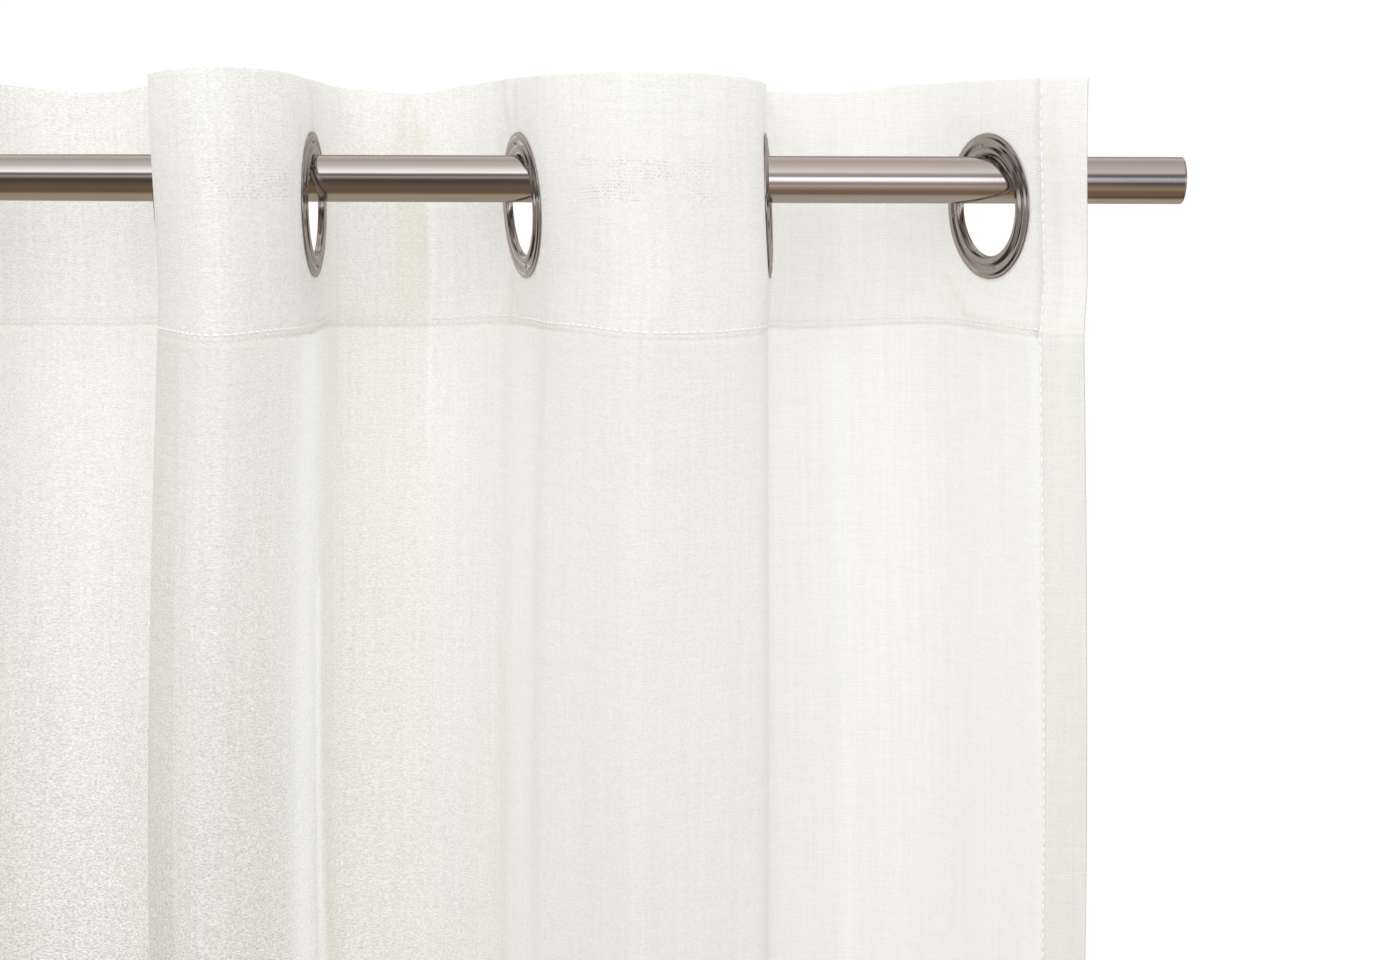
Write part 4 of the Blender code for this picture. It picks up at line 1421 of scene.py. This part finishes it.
class CURTAIN_OT_rod(bpy.types.Operator):
    """Turn the round rod with lightly rounded ends"""

    bl_idname = "curtain.rod"
    bl_label = "Rod"

    def execute(self, context):
        metal = context.scene.curtain_metal
        low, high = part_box("rod")
        deselect()
        bpy.ops.mesh.primitive_cylinder_add(
            vertices=metal.rod_sides,
            radius=(high.z - low.z) / 2.0,
            depth=high.x - low.x,
            location=(low + high) / 2.0,
            rotation=(0.0, pi / 2.0, 0.0),
        )
        rod = context.object
        rod.name = rod.data.name = "rod_tube"
        bpy.ops.object.transform_apply(location=True, rotation=True, scale=True)
        rounding = rod.modifiers.new("rounding", "BEVEL")
        rounding.width = metal.rod_rounding
        rounding.segments = 3
        rounding.limit_method = "ANGLE"
        rounding.angle_limit = radians(60.0)
        bpy.ops.object.modifier_apply(modifier="rounding")
        bpy.ops.object.shade_smooth_by_angle(angle=radians(15.0))
        material = metal_material("rod_nickel", metal.rod_colour, metal.roughness, 1.0)
        finish_piece(rod, material, "rod_metal", ("rod",))
        return {"FINISHED"}


# ---------------------------------------------------------------- studio

# What the metal mirrors, by the angle up from the camera's side over the top and down the
# back: rows of degrees and a colour. Left of the camera, right of it, further right, what
# these three share behind, and far aside
MIRRORED_LEFT = (
    (-150, 0.45, 0.40, 0.34), (-118, 0.50, 0.45, 0.36), (-90, 0.53, 0.46, 0.35),
    (-74, 0.22, 0.16, 0.10), (-42, 0.22, 0.17, 0.12), (-12, 0.11, 0.085, 0.065),
    (-4, 0.17, 0.14, 0.12), (7, 0.58, 0.56, 0.54), (13, 0.24, 0.22, 0.21),
    (21, 0.32, 0.30, 0.29), (28, 1.80, 1.80, 1.82), (42, 1.42, 1.44, 1.45),
    (63, 0.95, 0.92, 0.88), (100, 0.66, 0.60, 0.54),
)
MIRRORED_RIGHT = (
    (-150, 0.50, 0.46, 0.40), (-112, 0.61, 0.57, 0.49), (-88, 0.58, 0.50, 0.40),
    (-74, 0.26, 0.20, 0.13), (-55, 0.31, 0.24, 0.18), (-32, 0.72, 0.61, 0.51),
    (-20, 0.42, 0.39, 0.37), (-13, 0.75, 0.78, 0.80), (-3, 2.20, 2.20, 2.25),
    (6, 2.00, 2.05, 2.10), (13, 0.55, 0.53, 0.52), (24, 0.58, 0.56, 0.56),
    (37, 1.20, 1.18, 1.17), (62, 0.93, 0.88, 0.85), (100, 0.70, 0.63, 0.58),
)
MIRRORED_END = (
    (-150, 0.50, 0.46, 0.40), (-114, 0.60, 0.54, 0.45), (-95, 0.15, 0.10, 0.06),
    (-78, 0.27, 0.20, 0.14), (-62, 0.25, 0.18, 0.12), (-44, 0.46, 0.35, 0.24),
    (-16, 0.12, 0.10, 0.09), (-4, 0.62, 0.66, 0.74), (5, 0.78, 0.82, 0.90),
    (15, 0.22, 0.22, 0.20), (24, 0.24, 0.22, 0.19), (36, 0.93, 0.89, 0.85),
    (60, 0.80, 0.75, 0.70), (102, 0.66, 0.60, 0.54),
)
MIRRORED_BEHIND = (
    (-168, 0.46, 0.42, 0.38), (132, 0.90, 0.87, 0.80), (142, 0.36, 0.32, 0.29),
    (158, 0.50, 0.46, 0.42),
)
MIRRORED_ASIDE = (
    (-180, 0.66, 0.62, 0.57), (-150, 0.58, 0.54, 0.49), (-141, 0.44, 0.40, 0.36),
    (-130, 0.07, 0.055, 0.045), (-86, 0.08, 0.06, 0.05), (-70, 0.36, 0.33, 0.30),
    (-14, 0.40, 0.37, 0.35), (-2, 1.10, 1.07, 1.14), (10, 0.90, 0.87, 0.92),
    (26, 0.16, 0.14, 0.13), (52, 0.14, 0.12, 0.11), (64, 0.44, 0.41, 0.38),
    (96, 0.48, 0.45, 0.42), (106, 0.08, 0.065, 0.055), (122, 0.07, 0.055, 0.045),
    (136, 0.42, 0.38, 0.34), (150, 0.60, 0.56, 0.51), (180, 0.66, 0.62, 0.57),
)
WINDOW_X = -0.38
WINDOW_COLOUR = (0.95, 0.92, 0.96)


def mirrored_bands(tree, angle, bands):
    """Colour that metal mirrors from a height, in bands."""
    ramp_node = add_node(tree, "ShaderNodeValToRGB", {0: remap(tree, angle, -pi, pi)})
    ramp = ramp_node.color_ramp
    ramp.interpolation = "LINEAR"
    while len(ramp.elements) > 1:
        ramp.elements.remove(ramp.elements[-1])
    for index, (degrees, *colour) in enumerate(sorted(bands)):
        at = (degrees + 180.0) / 360.0
        stop = ramp.elements[0] if index == 0 else ramp.elements.new(at)
        stop.position = at
        stop.color = (*colour, 1.0)
    return ramp_node.outputs[0]


def studio_world(context):
    """White studio: plain to the camera and to the cloth, banded where metal mirrors it."""
    world = bpy.data.worlds.new("studio")
    context.scene.world = world
    world.use_nodes = True
    tree = world.node_tree
    to_x, to_y, to_z = separate(tree, add_node(tree, "ShaderNodeTexCoord").outputs["Generated"])
    to_camera = product(tree, to_y, -1.0)
    from_side = calc(tree, "ABSOLUTE", to_x)
    angle = calc(tree, "ARCTAN2", to_z, to_camera)
    mirrored = mirrored_bands(tree, angle, MIRRORED_LEFT + MIRRORED_BEHIND)
    for share, bands in (
        (remap(tree, to_x, -0.06, 0.02, smooth=True), MIRRORED_RIGHT + MIRRORED_BEHIND),
        (remap(tree, to_x, 0.13, 0.19, smooth=True), MIRRORED_END + MIRRORED_BEHIND),
        (remap(tree, from_side, 0.42, 0.54, smooth=True), MIRRORED_ASIDE),
    ):
        mirrored = mixed(tree, share, mirrored, mirrored_bands(tree, angle, bands))
    in_window = remap(tree, away_from(tree, to_x, WINDOW_X), 0.05, 0.11, 1.0, 0.0)
    window = product(tree, in_window, remap(tree, to_camera, -0.88, -0.80, 1.0, 0.0))
    mirrored = mixed(tree, window, mirrored, WINDOW_COLOUR)
    soft = mixed(tree, from_side, (0.71, 0.71, 0.705), (1.00, 1.005, 1.01))
    low = mixed(tree, remap(tree, to_z, -1.0, 1.0), (0.86, 0.85, 0.82), (1.01, 1.01, 1.02))
    behind = mixed(tree, remap(tree, to_camera, 1.0, -1.0), (0.85, 0.85, 0.85), (1.32, 1.32, 1.32))
    soft = vector_calc(tree, "MULTIPLY", vector_calc(tree, "MULTIPLY", soft, low), behind)
    path = add_node(tree, "ShaderNodeLightPath")
    seen = mixed(tree, path.outputs["Is Glossy Ray"], soft, mirrored)
    seen = mixed(tree, path.outputs["Is Camera Ray"], seen, (1.0, 1.0, 1.0))
    feed(tree, tree.nodes["Background"].inputs["Color"], seen)


def new_light(context, name, size, power, colour):
    """Large square soft light that metal doesn't mirror."""
    lamp = bpy.data.lights.new(name, "AREA")
    lamp.shape = "SQUARE"
    lamp.size = size
    lamp.energy = power
    lamp.color = colour
    thing = bpy.data.objects.new(name, lamp)
    thing.visible_glossy = False
    thing.visible_camera = False
    context.scene.collection.objects.link(thing)
    return thing


def aim(thing, place, target):
    """Put a light in its place and turn it to a point."""
    thing.location = place
    thing.rotation_euler = (Vector(target) - Vector(place)).to_track_quat("-Z", "Y").to_euler()


class CURTAIN_OT_studio(bpy.types.Operator):
    """Set the floor, the soft lights, the white surroundings and the camera"""

    bl_idname = "curtain.studio"
    bl_label = "Studio"

    def execute(self, context):
        stage = context.scene.curtain_stage
        deselect()
        bpy.ops.mesh.primitive_circle_add(
            vertices=96, radius=4.0, fill_type="NGON", location=(0.0, 0.0, FOOT_Z - stage.floor_gap)
        )
        floor = context.object
        floor.name = "floor"
        bpy.ops.object.transform_apply(location=True, rotation=True, scale=True)
        floor.data.materials.append(floor_material(stage))
        floor.visible_glossy = False
        studio_world(context)
        back = new_light(context, "back_light", 1.6, stage.back_power, (1.0, 1.0, 0.99))
        aim(back, (1.5, 1.5, 1.1), (0.2, 0.0, -0.2))
        front = new_light(context, "front_light", 1.2, stage.front_power, (0.98, 0.99, 1.03))
        aim(front, (0.05, -1.35, 0.62), (0.22, 0.0, -0.04))
        camera = bpy.data.cameras.new("camera")
        camera.sensor_width = 36.0
        camera.lens = stage.focal_pixels / PHOTO_WIDTH * camera.sensor_width
        camera.clip_start = 0.01
        eye = bpy.data.objects.new("camera", camera)
        eye.location = stage.camera_place
        look = Matrix.Rotation(pi / 2.0 - stage.pitch, 4, "X") @ Matrix.Rotation(stage.roll, 4, "Z")
        eye.rotation_euler = look.to_euler()
        context.scene.collection.objects.link(eye)
        context.scene.camera = eye
        context.scene.view_settings.view_transform = "Standard"
        return {"FINISHED"}


def floor_material(stage):
    """Plain pale floor that fades into the white surroundings."""
    material, tree, shader = new_material("pale_floor")
    place = add_node(tree, "ShaderNodeTexCoord").outputs["Object"]
    x, y, _ = separate(tree, place)
    grain = noise(tree, place, (30.0, 30.0, 30.0), 3.0)
    colour = mixed(tree, product(tree, grain, 0.15), stage.floor_colour, (0.9, 0.89, 0.87))
    away = calc(tree, "SQRT", calc(tree, "ADD", product(tree, x, x), product(tree, y, y)))
    fade = remap(tree, away, 1.2, 3.8, 1.0, 0.0, smooth=True)
    finish_shader(tree, shader, {"Base Color": colour, "Alpha": fade, "Roughness": 0.8})
    return material


# ---------------------------------------------------------------- panel and registration


class CURTAIN_PT_pieces(bpy.types.Panel):
    """Sidebar panel that lists the curtain's pieces"""

    bl_idname = "CURTAIN_PT_pieces"
    bl_label = "Curtain"
    bl_space_type = "VIEW_3D"
    bl_region_type = "UI"
    bl_category = "Curtain"

    def draw(self, context):
        for operator in OPERATORS:
            self.layout.operator(operator.bl_idname)
        for name in ("curtain_cloth", "curtain_metal", "curtain_stage"):
            settings = getattr(context.scene, name)
            for label in settings.__annotations__:
                self.layout.prop(settings, label)


SETTINGS = {
    "curtain_cloth": CurtainClothSettings,
    "curtain_metal": CurtainMetalSettings,
    "curtain_stage": CurtainStageSettings,
}
OPERATORS = (
    CURTAIN_OT_studio,
    CURTAIN_OT_rod,
    CURTAIN_OT_eyelets,
    CURTAIN_OT_voile_panel,
    CURTAIN_OT_heading_band,
    CURTAIN_OT_stitching,
)


def register():
    """Add the settings, the operators and the panel."""
    for name, settings in SETTINGS.items():
        bpy.utils.register_class(settings)
        setattr(bpy.types.Scene, name, bpy.props.PointerProperty(type=settings))
    for operator in OPERATORS:
        bpy.utils.register_class(operator)
    bpy.utils.register_class(CURTAIN_PT_pieces)


def unregister():
    """Take them away again."""
    bpy.utils.unregister_class(CURTAIN_PT_pieces)
    for operator in reversed(OPERATORS):
        bpy.utils.unregister_class(operator)
    for name, settings in SETTINGS.items():
        delattr(bpy.types.Scene, name)
        bpy.utils.unregister_class(settings)


def main():
    """Model every piece in order."""
    register()
    for operator in OPERATORS:
        group, name = operator.bl_idname.split(".")
        getattr(getattr(bpy.ops, group), name)()


if __name__ == "__main__":
    main()
